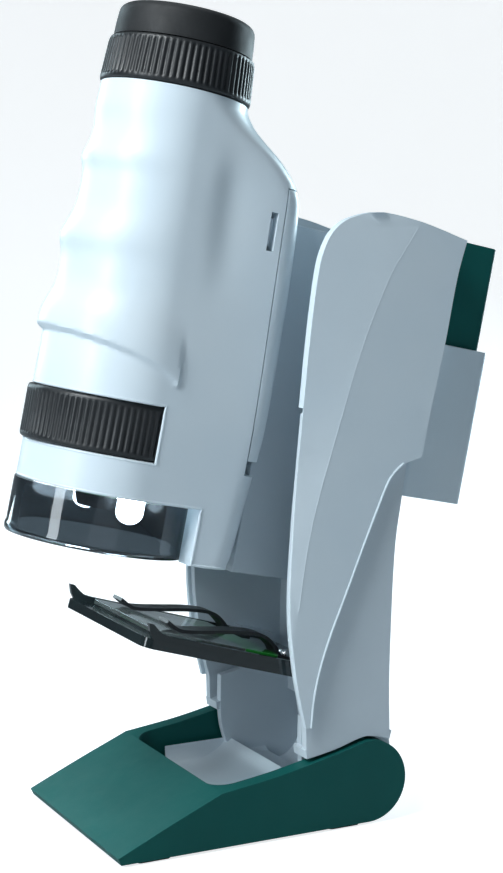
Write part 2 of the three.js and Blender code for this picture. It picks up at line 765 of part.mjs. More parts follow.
function tubeOutline(height, inset, steps) {
  const half = along(HALF_WIDTH, height) - inset;
  const front = along(FRONT_DEPTH, height) - inset;
  const back = along(BACK_DEPTH, height) - inset;
  const corner = Math.max(along(CORNER_RADIUS, height) - inset, 1);
  const grip = inset > 0 ? 0 : along(GRIP_DEPTH, height);
  const valley = inset > 0 ? 0 : along(SIDE_VALLEY, height);
  const points = [];
  for (let step = 0; step < steps; step += 1) {
    const angle = (2 * Math.PI * step) / steps;
    const sideways = Math.abs(Math.cos(angle));
    const backwards = Math.sin(angle);
    let radius;
    if (backwards < 0) {
      const a = sideways / half;
      const b = backwards / front;
      radius = 1 / Math.hypot(a, b);
      radius -= grip * Math.max(-backwards, 0) ** 2;
    } else {
      radius = backRadius(half, back, corner, Math.asin(Math.min(backwards, 1)));
      const fromValley = (backwards - 0.52) / 0.2;
      radius -= valley * Math.exp(-fromValley * fromValley);
    }
    points.push([radius * Math.cos(angle), radius * Math.sin(angle), height]);
  }
  return points;
}

const OUTLINE_STEPS = 48;
const TUBE_LEVELS = [
  67.4, 70, 80, 88, 96, 101, 107, 111.5, 114, 117, 120, 124, 129, 134, 137, 142, 148, 152,
  155, 158.3, 162, 165, 168.8,
];
const BODY_WALL = 1.8;

function tubeSolid() {
  return loft(TUBE_LEVELS.map((height) => tubeOutline(height, 0, OUTLINE_STEPS)));
}

const COVER_LOW = 92;
const COVER_HIGH = 152.5;
const COVER_SEAM = 23.6;
const CELL_RADIUS = 5.25;
const CELL_X = 6.1;
const CELL_Y = 20.4;
const CELL_LOW = RING_HIGH + 2.6;
const CELL_HIGH = CELL_LOW + 44.5;
const CONTACT = 0.5; // thickness of the battery contacts
const BAY_LOW = CELL_LOW - CONTACT - 2 * GAP;
const BAY_HIGH = CELL_HIGH + CONTACT + 2 * GAP;
const BARREL_RADIUS = 13;

// The cover slides down into a finger notch before it comes away.
const COVER_TRAVEL = 3;
const BAY_FRONT = CELL_Y - CELL_RADIUS - GAP - 0.35;
const TIP_WINDOW_BACK = 14.4; // the clear tip shows from the front back to here
const RING_WINDOW_BACK = 1.6; // the focus ring shows from the front back to here
const NECK_BORE = 13.4;

function coverBlock(clearance, notch = 0) {
  const seam = COVER_SEAM - clearance;
  return box(-FAR, FAR, seam, FAR, COVER_LOW - clearance - notch, COVER_HIGH + clearance);
}

function makeBody() {
  let body = tubeSolid();
  // Hollow for the optics, open at both ends.
  const foot = TIP_LOW - 7.4;
  const hollowLevels = [foot, 100, 130, 150, 160].map((height) => {
    const fit = Math.min(along(FRONT_DEPTH, height), along(HALF_WIDTH, height)) - BODY_WALL - 1.1;
    return [fit, height];
  });
  const mouth = NECK_TOP + 6.2;
  const bore = [[0, foot], ...hollowLevels, [NECK_BORE, mouth], [0, mouth]];
  body = cut(body, turned(bore, 40));
  // Battery bay behind the optics, closed by the cover.
  const bayHalf = CELL_X + CELL_RADIUS + GAP + 0.5;
  body = cut(body, box(-bayHalf, bayHalf, BAY_FRONT, FAR, BAY_LOW, BAY_HIGH));
  body = cut(body, coverBlock(GAP, COVER_TRAVEL));
  // Front cut away for the clear tip, window for the focus ring.
  const tipTop = TIP_HIGH + GAP;
  body = cut(body, disc(TIP_RADIUS + GAP, TIP_LOW - 2, tipTop));
  body = cut(body, box(-FAR, FAR, -FAR, TIP_WINDOW_BACK, TIP_LOW - 2, tipTop));
  body = cut(body, disc(RING_RADIUS + GAP, RING_LOW - GAP, RING_HIGH + GAP));
  body = cut(body, box(-FAR, FAR, -FAR, RING_WINDOW_BACK, RING_LOW - GAP, RING_HIGH + GAP));
  body = cut(body, powerButtonHole());
  for (const side of [-1, 1]) {
    body = cut(body, latchSlot(side));
  }
  return join(body, tongue());
}

// Two hooks on the cover reach forward and show in a slot on each side of the body.
const LATCH = { x0: 14.6, x1: 16.2, y0: 20.4, y1: 24.2, z0: 139.4, z1: 145.6 };
const LATCH_SLOT = { y0: 20, y1: 21.7, z0: 138.2, z1: 146.8 };

function mirroredBox(side, x0, x1, ...rest) {
  return side > 0 ? box(x0, x1, ...rest) : box(-x1, -x0, ...rest);
}

function latchSlot(side) {
  const { x0, x1, y0, y1, z0, z1 } = LATCH;
  const slot = LATCH_SLOT;
  const window = mirroredBox(side, x0 - GAP, FAR, slot.y0, slot.y1, slot.z0, slot.z1);
  const low = z0 - COVER_TRAVEL - GAP;
  const way = mirroredBox(side, x0 - GAP, x1 + GAP, y0 - GAP, y1, low, z1 + GAP);
  return join(window, way);
}

// The T-shaped tongue on the back of the tube that hangs in the slot of the saddle.
function tongue() {
  const half = SLOT_HALF - 0.4;
  const foot = box(-half, half, BODY_BACK_IN, HEAD_BACK - 0.5, TONGUE_LOW, TONGUE_HIGH);
  return join(foot, box(-HEAD_HALF, HEAD_HALF, HEAD_FRONT, HEAD_BACK, TONGUE_LOW, TONGUE_HIGH));
}

// The power button sits on the sloping back shoulder.
const BUTTON_Y = 22.4;
const BUTTON_Z = 160.2;
const BUTTON_TILT = -43 * DEG;
const BUTTON_HALF_X = 5;
const BUTTON_HALF_Y = 4.6;

function onShoulder(solid) {
  const matrix = new THREE.Matrix4().makeRotationX(BUTTON_TILT);
  matrix.setPosition(0, BUTTON_Y, BUTTON_Z);
  return inWorld(solid, matrix);
}

function powerButtonHole() {
  const across = BUTTON_HALF_X + GAP;
  const reach = BUTTON_HALF_Y + GAP;
  return onShoulder(plate(roundedRectangle(across, -reach, reach, 1.6), -3.4, 5));
}

addTo(tube, 'tube_body', makeBody(), 'white');

const buttonOutline = roundedRectangle(BUTTON_HALF_X, -BUTTON_HALF_Y, BUTTON_HALF_Y, 1.4);
const buttonPlace = { y: BUTTON_Y, z: BUTTON_Z, rx: BUTTON_TILT };
addTo(tube, 'power_button', plate(buttonOutline, -1.6, 1.2), 'black', buttonPlace);

function makeCover() {
  const skin = tubeSolid().intersect(coverBlock(0));
  const roomHigh = CELL_HIGH + COVER_TRAVEL + 2 * GAP;
  const roomHalf = CELL_X + CELL_RADIUS + GAP + 0.95;
  const roomBack = CELL_Y + CELL_RADIUS + GAP + 1.05;
  const room = box(-roomHalf, roomHalf, 0, roomBack, BAY_LOW, roomHigh);
  const { x0, x1, y0, y1, z0, z1 } = LATCH;
  const latches = [-1, 1].map((side) => mirroredBox(side, x0, x1, y0, y1, z0, z1));
  return join(cut(skin, room), ...latches);
}
addTo(tube, 'battery_cover', makeCover(), 'white');

// ---------------------------------------------------------------- eyepiece
const RIB_COUNT = 60;

function ribbed(core, radius, depth, z0, z1) {
  let body = core;
  const groove = new THREE.CylinderGeometry(depth, depth, z1 - z0, 4);
  for (let rib = 0; rib < RIB_COUNT; rib += 1) {
    const angle = (2 * Math.PI * rib) / RIB_COUNT;
    const place = {
      x: radius * Math.cos(angle),
      y: radius * Math.sin(angle),
      z: (z0 + z1) / 2,
      rx: Math.PI / 2,
    };
    body = cut(body, toSolid(placed(groove, place)));
  }
  return body;
}

const ZOOM_LOW = NECK_TOP + GAP;
const ZOOM_HIGH = 179;

function makeZoomRing() {
  const r = CAP_RADIUS;
  const core = turned([
    [12.2, ZOOM_LOW],
    [r + 0.4, ZOOM_LOW],
    [r + 0.7, ZOOM_LOW + 0.8],
    [r + 0.1, ZOOM_HIGH - 0.6],
    [r - 0.4, ZOOM_HIGH],
    [12.2, ZOOM_HIGH],
    [12.2, ZOOM_LOW],
  ], RIB_COUNT);
  return ribbed(core, r + 0.65, 0.5, ZOOM_LOW + 1.2, ZOOM_HIGH - 1);
}

function makeEyecup() {
  return turned([
    [10.2, ZOOM_HIGH + GAP],
    [15.6, ZOOM_HIGH + GAP],
    [15.3, EYECUP_TOP - 2],
    [14.3, EYECUP_TOP - 0.4],
    [13.2, EYECUP_TOP],
    [12, EYECUP_TOP - 0.6],
    [10.8, EYECUP_TOP - 3.4],
    [10.2, EYECUP_TOP - 4.2],
    [10.2, ZOOM_HIGH + GAP],
  ], RIB_COUNT);
}

function makeLens(radius, middle, edge, bulge) {
  const rise = (share) => bulge * (1 - share * share);
  return turned([
    [0, middle - edge / 2 - bulge],
    [radius * 0.6, middle - edge / 2 - rise(0.6)],
    [radius, middle - edge / 2],
    [radius, middle + edge / 2],
    [radius * 0.6, middle + edge / 2 + rise(0.6)],
    [0, middle + edge / 2 + bulge],
  ], 32);
}

addTo(tube, 'zoom_ring', makeZoomRing(), 'black');
addTo(tube, 'eyecup', makeEyecup(), 'rubber');
addTo(tube, 'eye_lens', makeLens(9.8, 181.4, 1.4, 1), 'glass');

// ---------------------------------------------------------------- optics
const BARREL_WALL = 1.4;
const BARREL_LOW = 101.5;
const BARREL_HIGH = 167;
const ZOOM_TUBE_LOW = 150;

function makeBarrel() {
  const inner = BARREL_RADIUS - BARREL_WALL;
  const tubeWall = ring(inner, BARREL_RADIUS, BARREL_LOW, BARREL_HIGH, 40);
  const flangeRadius = along(FRONT_DEPTH, BARREL_LOW) - 4;
  const flange = ring(inner, flangeRadius, BARREL_LOW, BARREL_LOW + 1.5, 40);
  return join(tubeWall, flange);
}
addTo(tube, 'inner_barrel', makeBarrel(), 'black');

const zoomTubeRadius = BARREL_RADIUS - BARREL_WALL - GAP;
const zoomTubeHigh = BARREL_HIGH - 1;
const zoomTube = ring(zoomTubeRadius - 1.2, zoomTubeRadius, ZOOM_TUBE_LOW, zoomTubeHigh, 40);
const zoomSeat = ring(8.4, zoomTubeRadius - 0.2, ZOOM_TUBE_LOW, ZOOM_TUBE_LOW + 1, 40);
addTo(tube, 'zoom_carriage', join(zoomTube, zoomSeat), 'black');
addTo(tube, 'zoom_lens', makeLens(9.7, ZOOM_TUBE_LOW + 3.2, 1.2, 0.8), 'glass');

function makeFocusRing() {
  const r = RING_RADIUS;
  const core = turned([
    [17.4, RING_LOW],
    [r - 0.4, RING_LOW],
    [r, RING_LOW + 0.8],
    [r, RING_HIGH - 0.8],
    [r - 0.4, RING_HIGH],
    [17.4, RING_HIGH],
    [17.4, RING_LOW],
  ], RIB_COUNT);
  return ribbed(core, r, 0.5, RING_LOW + 1.3, RING_HIGH - 1.3);
}
addTo(tube, 'focus_ring', makeFocusRing(), 'black');

const FOCUS_TRAVEL = 2;
const HOLDER_RADIUS = 14;
const HOLDER_LOW = 75.5;
const HOLDER_HIGH = BARREL_LOW - FOCUS_TRAVEL - 2 * GAP;
const BOARD_LOW = TIP_HIGH + 0.8;
const BOARD_THICKNESS = 1;
const HOLDER_STEP = BOARD_LOW + BOARD_THICKNESS + FOCUS_TRAVEL + 2 * GAP;

function makeHolder() {
  return turned([
    [3, HOLDER_LOW],
    [5.2, HOLDER_LOW],
    [6.4, HOLDER_LOW + 3.4],
    [6.4, HOLDER_STEP],
    [HOLDER_RADIUS, HOLDER_STEP + 2],
    [HOLDER_RADIUS, HOLDER_HIGH],
    [HOLDER_RADIUS - 1.6, HOLDER_HIGH],
    [HOLDER_RADIUS - 1.6, HOLDER_STEP + 3.5],
    [4.6, HOLDER_STEP + 1.5],
    [4.6, HOLDER_LOW + 1.8],
    [3, HOLDER_LOW + 1],
    [3, HOLDER_LOW],
  ], 40);
}
addTo(tube, 'objective_holder', makeHolder(), 'black');
addTo(tube, 'objective_lens', makeLens(4.3, HOLDER_LOW + 3.6, 0.8, 0.5), 'glass');

// ---------------------------------------------------------------- clear tip and lamp
function makeTip() {
  const r = TIP_RADIUS;
  return turned([
    [r - 1.5, TIP_LOW + 1],
    [r - 0.9, TIP_LOW],
    [r - 0.3, TIP_LOW + 0.2],
    [r, TIP_LOW + 1],
    [r - 0.4, TIP_HIGH],
    [r - 1.8, TIP_HIGH],
    [r - 1.5, TIP_LOW + 1],
  ], 56);
}
addTo(tube, 'clear_tip', makeTip(), 'clear');

const LAMP_X = 12.6;
const LAMP_Y = 1.5;
const board = ring(8.4, 15.8, BOARD_LOW, BOARD_LOW + BOARD_THICKNESS, 40);
addTo(tube, 'lamp_board', board, 'board');
const lampLow = BOARD_LOW - GAP;
const lamp = turned([
  [0, lampLow - 5],
  [1.4, lampLow - 4.6],
  [2.2, lampLow - 3.4],
  [2.5, lampLow - 2],
  [2.5, lampLow - 0.8],
  [2.9, lampLow - 0.8],
  [2.9, lampLow],
  [0, lampLow],
], 24);
for (const [name, side] of [['left', -1], ['right', 1]]) {
  addTo(tube, `lamp_${name}`, lamp, 'lamp', { x: side * LAMP_X, y: LAMP_Y });
}

// ---------------------------------------------------------------- batteries
for (const [name, side] of [['left', -1], ['right', 1]]) {
  const flip = side < 0;
  const cell = turned([
    [0, CELL_LOW],
    [CELL_RADIUS - 0.4, CELL_LOW],
    [CELL_RADIUS, CELL_LOW + 0.4],
    [CELL_RADIUS, CELL_HIGH - 1.6],
    [CELL_RADIUS - 0.5, CELL_HIGH - 1.1],
    [1.9, CELL_HIGH - 1.1],
    [1.9, CELL_HIGH],
    [0, CELL_HIGH],
  ], 28);
  const place = { x: side * CELL_X, y: CELL_Y };
  if (flip) {
    place.rx = Math.PI;
    place.z = CELL_LOW + CELL_HIGH;
  }
  addTo(tube, `battery_${name}`, cell, 'cell', place);
}

const contactBack = CELL_Y + 2.4;
const contactFront = CELL_Y - 2.4;
const contactTop = CELL_LOW - GAP;
const lowContact = box(-9.5, 9.5, contactFront, contactBack, contactTop - CONTACT, contactTop);
addTo(tube, 'contact_low', lowContact, 'brass');
for (const side of [-1, 1]) {
  const x = side * CELL_X;
  const name = side < 0 ? 'contact_high_left' : 'contact_high_right';
  const z = CELL_HIGH + GAP;
  addTo(tube, name, box(x - 3, x + 3, contactFront, contactBack, z, z + CONTACT), 'brass');
}

// The origin is under the middle of the object, on the table.
const bounds = new THREE.Box3().setFromObject(root);
const middle = bounds.getCenter(new THREE.Vector3());
root.position.set(-middle.x, -middle.y, -bounds.min.z);

export default root;
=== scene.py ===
import json
import math

import bmesh
import bpy
from mathutils import Matrix, Vector

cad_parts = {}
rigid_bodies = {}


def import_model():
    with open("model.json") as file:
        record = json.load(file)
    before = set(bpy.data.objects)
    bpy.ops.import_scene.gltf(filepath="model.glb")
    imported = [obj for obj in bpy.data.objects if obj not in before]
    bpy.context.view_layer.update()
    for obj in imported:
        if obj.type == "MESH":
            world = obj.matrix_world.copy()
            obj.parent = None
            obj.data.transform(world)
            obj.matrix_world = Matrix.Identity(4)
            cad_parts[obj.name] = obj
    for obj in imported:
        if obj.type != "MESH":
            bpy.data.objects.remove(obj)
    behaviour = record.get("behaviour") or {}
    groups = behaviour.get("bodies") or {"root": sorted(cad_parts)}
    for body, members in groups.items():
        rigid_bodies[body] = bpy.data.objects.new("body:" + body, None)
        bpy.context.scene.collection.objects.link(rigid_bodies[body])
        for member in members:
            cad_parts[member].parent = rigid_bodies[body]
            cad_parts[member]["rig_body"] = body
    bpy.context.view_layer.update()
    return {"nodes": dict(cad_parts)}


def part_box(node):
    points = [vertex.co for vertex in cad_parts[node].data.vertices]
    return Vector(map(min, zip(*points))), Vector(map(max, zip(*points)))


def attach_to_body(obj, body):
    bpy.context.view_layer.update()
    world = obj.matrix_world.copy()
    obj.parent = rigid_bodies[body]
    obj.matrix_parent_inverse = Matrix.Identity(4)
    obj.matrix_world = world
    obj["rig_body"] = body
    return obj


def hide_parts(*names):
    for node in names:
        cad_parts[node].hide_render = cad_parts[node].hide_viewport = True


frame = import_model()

MM = 0.001
DEG = math.pi / 180

# ------------------------------------------------------------------ frames
# Three sets of axes, all in millimetres while a piece is made: "layout" has Y = 0 at the
# toe of the base, "tube" runs up the optical axis, "stage" lies in the top of the stage.
TUBE_LEAN = 11.7 * DEG
AXIS_Y = -7.6
STAGE_SLOPE = 16.5 * DEG
STAGE_FRONT_Y = 8.5
STAGE_FRONT_Z = 49.0
TOE_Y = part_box("base_fork")[0].y
LAYOUT = Matrix.Translation((0, TOE_Y, 0))
TUBE = LAYOUT @ Matrix.Translation((0, AXIS_Y * MM, 0)) @ Matrix.Rotation(-TUBE_LEAN, 4, "X")
STAGE = (
    LAYOUT
    @ Matrix.Translation((0, STAGE_FRONT_Y * MM, STAGE_FRONT_Z * MM))
    @ Matrix.Rotation(-STAGE_SLOPE, 4, "X")
)

GAP = 0.3
WALL = 2.0


# ------------------------------------------------------------------ tables and lines
def smooth(table, x):
    """Value at x of a table of (position, value) rows, on a curve that never overshoots."""
    if x <= table[0][0]:
        return table[0][1]
    if x >= table[-1][0]:
        return table[-1][1]
    upper = next(k for k in range(1, len(table)) if table[k][0] > x)

    def slope(k):
        if k <= 0 or k >= len(table) - 1:
            return 0.0
        before = (table[k][1] - table[k - 1][1]) / (table[k][0] - table[k - 1][0])
        after = (table[k + 1][1] - table[k][1]) / (table[k + 1][0] - table[k][0])
        return 0.0 if before * after <= 0 else 2 * before * after / (before + after)

    (p0, v0), (p1, v1) = table[upper - 1], table[upper]
    step = p1 - p0
    t = (x - p0) / step
    m0, m1 = slope(upper - 1) * step, slope(upper) * step
    return (
        (2 * t**3 - 3 * t**2 + 1) * v0
        + (t**3 - 2 * t**2 + t) * m0
        + (3 * t**2 - 2 * t**3) * v1
        + (t**3 - t**2) * m1
    )


def ease(t):
    t = min(max(t, 0.0), 1.0)
    return t * t * (3 - 2 * t)


def curved(points, steps=6):
    """A smooth line through the points, open at both ends."""
    line = []
    for k in range(len(points) - 1):
        p0 = points[max(k - 1, 0)]
        p1, p2 = points[k], points[k + 1]
        p3 = points[min(k + 2, len(points) - 1)]
        for step in range(steps):
            t = step / steps
            line.append(
                tuple(
                    0.5
                    * (
                        2 * b
                        + (c - a) * t
                        + (2 * a - 5 * b + 4 * c - d) * t * t
                        + (3 * b - a - 3 * c + d) * t**3
                    )
                    for a, b, c, d in zip(p0, p1, p2, p3)
                )
            )
    line.append(tuple(points[-1]))
    return line


def arc(cy, cz, radius, start, end, steps):
    return [
        (
            cy + radius * math.cos((start + (end - start) * k / steps) * DEG),
            cz + radius * math.sin((start + (end - start) * k / steps) * DEG),
        )
        for k in range(steps + 1)
    ]


def offset_line(points, distance):
    """The line moved sideways; a positive distance goes to the left of travel."""
    moved = []
    for k, point in enumerate(points):
        before, after = points[max(k - 1, 0)], points[min(k + 1, len(points) - 1)]
        way = Vector((after[0] - before[0], after[1] - before[1])).normalized()
        moved.append((point[0] - way.y * distance, point[1] + way.x * distance))
    return moved


def band(points, thickness):
    return list(points) + offset_line(points, thickness)[::-1]


def rounded_rectangle(half, y0, y1, radius, steps=8):
    points = []
    corners = [
        (half - radius, y1 - radius, 0),
        (-half + radius, y1 - radius, 90),
        (-half + radius, y0 + radius, 180),
        (half - radius, y0 + radius, 270),
    ]
    for cx, cy, start in corners:
        points += arc(cx, cy, radius, start, start + 90, steps)
    return points


# ------------------------------------------------------------------ meshes
def solid(points, faces):
    """A new object from raw points and faces, in millimetres, with its faces outwards."""
    mesh = bpy.data.meshes.new("part")
    mesh.from_pydata([tuple(p) for p in points], [], faces)
    shape = bmesh.new()
    shape.from_mesh(mesh)
    bmesh.ops.remove_doubles(shape, verts=shape.verts, dist=1e-4)
    bmesh.ops.recalc_face_normals(shape, faces=shape.faces)
    shape.to_mesh(mesh)
    shape.free()
    made = bpy.data.objects.new("part", mesh)
    bpy.context.scene.collection.objects.link(made)
    return made


def prism(outline, low, high, axis="x"):
    """An outline in the plane of the other two axes, pushed along one axis."""
    count = len(outline)

    def at(point, t):
        u, v = point
        return {"x": (t, u, v), "y": (u, t, v), "z": (u, v, t)}[axis]

    points = [at(p, low) for p in outline] + [at(p, high) for p in outline]
    faces = [tuple(range(count)), tuple(range(2 * count - 1, count - 1, -1))]
    for k in range(count):
        after = (k + 1) % count
        faces.append((k, after, after + count, k + count))
    return solid(points, faces)


def both_sides(outline, inner, outer):
    return combine(prism(outline, inner, outer), "UNION", prism(outline, -outer, -inner))


def block(x0, x1, y0, y1, z0, z1):
    return prism([(x0, y0), (x1, y0), (x1, y1), (x0, y1)], z0, z1, "z")


def loft(rings):
    count = len(rings[0])
    points = [p for outline in rings for p in outline]
    faces = []
    for level in range(len(rings) - 1):
        for k in range(count):
            a, b = level * count + k, level * count + (k + 1) % count
            faces.append((a, b, b + count, a + count))
    top = (len(rings) - 1) * count
    faces += [tuple(range(count))[::-1], tuple(range(top, top + count))]
    return solid(points, faces)


def turned(profile, segments=96, waves=None, x=0.0, y=0.0):
    """Turned about the Z axis. A closed profile makes a ring; one from and to radius 0
    makes a full body. waves(index, angle) gives what is taken off the radius."""
    rows = len(profile)
    points, faces = [], []
    for s in range(segments):
        angle = 2 * math.pi * s / segments
        for k, (radius, z) in enumerate(profile):
            r = radius - (waves(k, angle) if waves else 0.0)
            points.append((x + r * math.cos(angle), y + r * math.sin(angle), z))
    full = profile[0][0] < 1e-6 and profile[-1][0] < 1e-6
    for s in range(segments):
        after = (s + 1) % segments
        for k in range(rows - 1 if full else rows):
            nxt = (k + 1) % rows
            quad = (s * rows + k, after * rows + k, after * rows + nxt, s * rows + nxt)
            faces.append(quad)
    made = solid(points, faces)
    shape = bmesh.new()
    shape.from_mesh(made.data)
    bmesh.ops.dissolve_degenerate(shape, edges=shape.edges, dist=1e-4)
    shape.to_mesh(made.data)
    shape.free()
    return made


def rod(radius, low, high, axis, u, v, segments=48):
    """A round bar along X or Y, through the point (u, v) of the other two axes."""
    outline = arc(u, v, radius, 0, 360 - 360 / segments, segments - 1)
    if axis == "x":
        return prism(outline, low, high)
    made = prism(outline, low, high, "z")
    made.data.transform(Matrix(((1, 0, 0, 0), (0, 0, 1, 0), (0, 1, 0, 0), (0, 0, 0, 1))))
    made.data.flip_normals()
    return made


def settle(piece):
    """Applies what modifiers the piece has."""
    bpy.context.view_layer.update()
    graph = bpy.context.evaluated_depsgraph_get()
    made = bpy.data.meshes.new_from_object(piece.evaluated_get(graph))
    old = piece.data
    piece.modifiers.clear()
    piece.data = made
    bpy.data.meshes.remove(old)
    return piece


def combine(piece, operation, *tools):
    for tool in tools:
        step = piece.modifiers.new("combine", "BOOLEAN")
        step.operation = operation
        step.solver = "MANIFOLD"
        step.object = tool
    settle(piece)
    for tool in tools:
        bpy.data.objects.remove(tool)
    if not piece.data.vertices:
        raise RuntimeError("a cut left nothing of a piece")
    return piece


def cut(piece, *tools):
    return combine(piece, "DIFFERENCE", *tools)


def attach(piece, *others):
    """Puts the meshes of other pieces into this one as they are."""
    shape = bmesh.new()
    shape.from_mesh(piece.data)
    for other in others:
        shape.from_mesh(other.data)
        bpy.data.objects.remove(other)
    shape.to_mesh(piece.data)
    shape.free()
    return piece


def bead(line, radius, closed=False, sides=8):
    """A round bead along a line, for rolled edges and fine ribs."""
    points = [Vector(p) for p in line]
    count = len(points)
    normal = None
    verts, faces = [], []
    for k, point in enumerate(points):
        before = points[(k - 1) % count if closed else max(k - 1, 0)]
        after = points[(k + 1) % count if closed else min(k + 1, count - 1)]
        way = (after - before).normalized()
        if normal is None:
            normal = way.orthogonal().normalized()
        normal = (normal - way * normal.dot(way)).normalized()
        side = way.cross(normal)
        for s in range(sides):
            angle = 2 * math.pi * s / sides
            verts.append(point + radius * (math.cos(angle) * normal + math.sin(angle) * side))
    last = count if closed else count - 1
    for k in range(last):
        after = (k + 1) % count
        for s in range(sides):
            nxt = (s + 1) % sides
            faces.append(
                (k * sides + s, k * sides + nxt, after * sides + nxt, after * sides + s)
            )
    if not closed:
        faces.append(tuple(range(sides)))
        faces.append(tuple(range((count - 1) * sides, count * sides)))
    return solid(verts, faces)


def place(piece, name, axes, body, look, slot, nodes, bevel=0.0, segments=3, sharp=35):
    """Scales a finished shape to metres, rounds its edges and hands it to its CAD body."""
    piece.name = name
    piece.data.name = name
    piece.data.transform(Matrix.Scale(MM, 4))
    if bevel:
        tidy = bmesh.new()
        tidy.from_mesh(piece.data)
        bmesh.ops.dissolve_limit(
            tidy, angle_limit=0.4 * DEG, verts=tidy.verts, edges=tidy.edges
        )
        tidy.to_mesh(piece.data)
        tidy.free()
        rounding = piece.modifiers.new("rounding", "BEVEL")
        rounding.width = bevel * MM
        rounding.segments = segments
        rounding.limit_method = "ANGLE"
        rounding.angle_limit = sharp * DEG
        rounding.miter_outer = "MITER_ARC"
        rounding.use_clamp_overlap = True
        settle(piece)
    for face in piece.data.polygons:
        face.use_smooth = True
    piece.data.set_sharp_from_angle(angle=(45 if bevel else sharp) * DEG)
    if bevel:
        even = piece.modifiers.new("even", "WEIGHTED_NORMAL")
        even.keep_sharp = True
        settle(piece)
    piece.data.materials.clear()
    piece.data.materials.append(look)
    piece.matrix_world = axes
    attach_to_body(piece, body)
    if nodes:
        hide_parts(*nodes)
    return piece


# ------------------------------------------------------------------ materials
class Look:
    """A node material on the Principled shader, built up a layer at a time."""

    def __init__(self, name):
        self.material = bpy.data.materials.new(name)
        self.material.use_nodes = True
        self.tree = self.material.node_tree
        self.shader = self.tree.nodes["Principled BSDF"]
        self.place = self.node("ShaderNodeTexCoord").outputs["Object"]

    def node(self, kind, **settings):
        made = self.tree.nodes.new(kind)
        for key, value in settings.items():
            setattr(made, key, value)
        return made

    def link(self, source, target):
        self.tree.links.new(source, target)

    def noise(self, scale, detail=3.0, rough=0.55, stretch=None):
        made = self.node("ShaderNodeTexNoise")
        made.inputs["Scale"].default_value = scale
        made.inputs["Detail"].default_value = detail
        made.inputs["Roughness"].default_value = rough
        source = self.place
        if stretch:
            mapping = self.node("ShaderNodeMapping")
            mapping.inputs["Scale"].default_value = stretch
            self.link(self.place, mapping.inputs["Vector"])
            source = mapping.outputs["Vector"]
        self.link(source, made.inputs["Vector"])
        return made.outputs["Fac"]

    def spread(self, value, low, high, start=0.3, end=0.7):
        made = self.node("ShaderNodeMapRange")
        made.inputs["From Min"].default_value = start
        made.inputs["From Max"].default_value = end
        made.inputs["To Min"].default_value = low
        made.inputs["To Max"].default_value = high
        self.link(value, made.inputs["Value"])
        return made.outputs["Result"]

    def math(self, operation, a, b):
        made = self.node("ShaderNodeMath", operation=operation)
        for socket, value in zip(made.inputs, (a, b)):
            if isinstance(value, (int, float)):
                socket.default_value = value
            else:
                self.link(value, socket)
        return made.outputs["Value"]

    def mix(self, factor, a, b):
        made = self.node("ShaderNodeMix", data_type="RGBA")
        sockets = [made.inputs[0], made.inputs[6], made.inputs[7]]
        for socket, value in zip(sockets, (factor, a, b)):
            if isinstance(value, tuple):
                socket.default_value = (*value, 1.0)
            elif isinstance(value, (int, float)):
                socket.default_value = value
            else:
                self.link(value, socket)
        return made.outputs[2]

    def edges(self, radius):
        """1 on worn outer edges, 0 on flat faces."""
        bevel = self.node("ShaderNodeBevel", samples=4)
        bevel.inputs["Radius"].default_value = radius
        geometry = self.node("ShaderNodeNewGeometry")
        dot = self.node("ShaderNodeVectorMath", operation="DOT_PRODUCT")
        self.link(bevel.outputs["Normal"], dot.inputs[0])
        self.link(geometry.outputs["Normal"], dot.inputs[1])
        return self.spread(dot.outputs["Value"], 1.0, 0.0, 0.75, 0.98)

    def bump(self, height, distance, strength=1.0):
        made = self.node("ShaderNodeBump")
        made.inputs["Strength"].default_value = strength
        made.inputs["Distance"].default_value = distance
        self.link(height, made.inputs["Height"])
        return made.outputs["Normal"]

    def set(self, **values):
        for key, value in values.items():
            socket = self.shader.inputs[key.replace("_", " ")]
            if isinstance(value, tuple):
                socket.default_value = (*value, 1.0) if len(value) == 3 else value
            elif isinstance(value, (int, float)):
                socket.default_value = value
            else:
                self.link(value, socket)
        return self


def moulded(name, base, shade, roughness, grain=5200.0, depth=0.012, wear=0.25, **more):
    """Moulded plastic: fine spark-erosion grain, faint flow marks, handled sheen, lighter edges."""
    look = Look(name)
    flow = look.spread(look.noise(38.0, 2.0), 0.0, 1.0)
    colour = look.mix(flow, base, shade)
    worn = look.edges(0.35 * MM)
    broken = look.math("MULTIPLY", worn, look.spread(look.noise(700.0, 4.0), 0.0, wear, 0.35, 0.6))
    lighter = tuple(min(1.0, c * 1.25 + 0.03) for c in base)
    colour = look.mix(broken, colour, lighter)
    handled = look.spread(look.noise(120.0, 5.0, 0.65), roughness - 0.07, roughness + 0.08)
    fine = look.noise(grain, 2.0, 0.6)
    scratches = look.noise(900.0, 3.0, 0.7, stretch=(1.0, 1.0, 0.06))
    height = look.math("ADD", fine, look.math("MULTIPLY", scratches, 0.35))
    look.set(
        Base_Color=colour,
        Roughness=handled,
        Normal=look.bump(height, depth * MM),
        **more,
    )
    return look.material


def ribbed_black(name, base, roughness, rubbery=False):
    look = Look(name)
    dust = look.spread(look.noise(260.0, 5.0, 0.7), 0.0, 0.35, 0.45, 0.75)
    colour = look.mix(dust, base, tuple(c * 1.9 + 0.004 for c in base))
    worn = look.math("MULTIPLY", look.edges(0.25 * MM), 0.15)
    colour = look.mix(worn, colour, (0.085, 0.093, 0.1))
    matte = look.spread(look.noise(160.0, 4.0), roughness - 0.08, roughness + 0.1)
    fine = look.noise(7000.0 if rubbery else 5200.0, 2.0, 0.6)
    look.set(
        Base_Color=colour,
        Roughness=matte,
        Normal=look.bump(fine, (0.02 if rubbery else 0.012) * MM),
        Specular_IOR_Level=0.35 if rubbery else 0.5,
    )
    return look.material


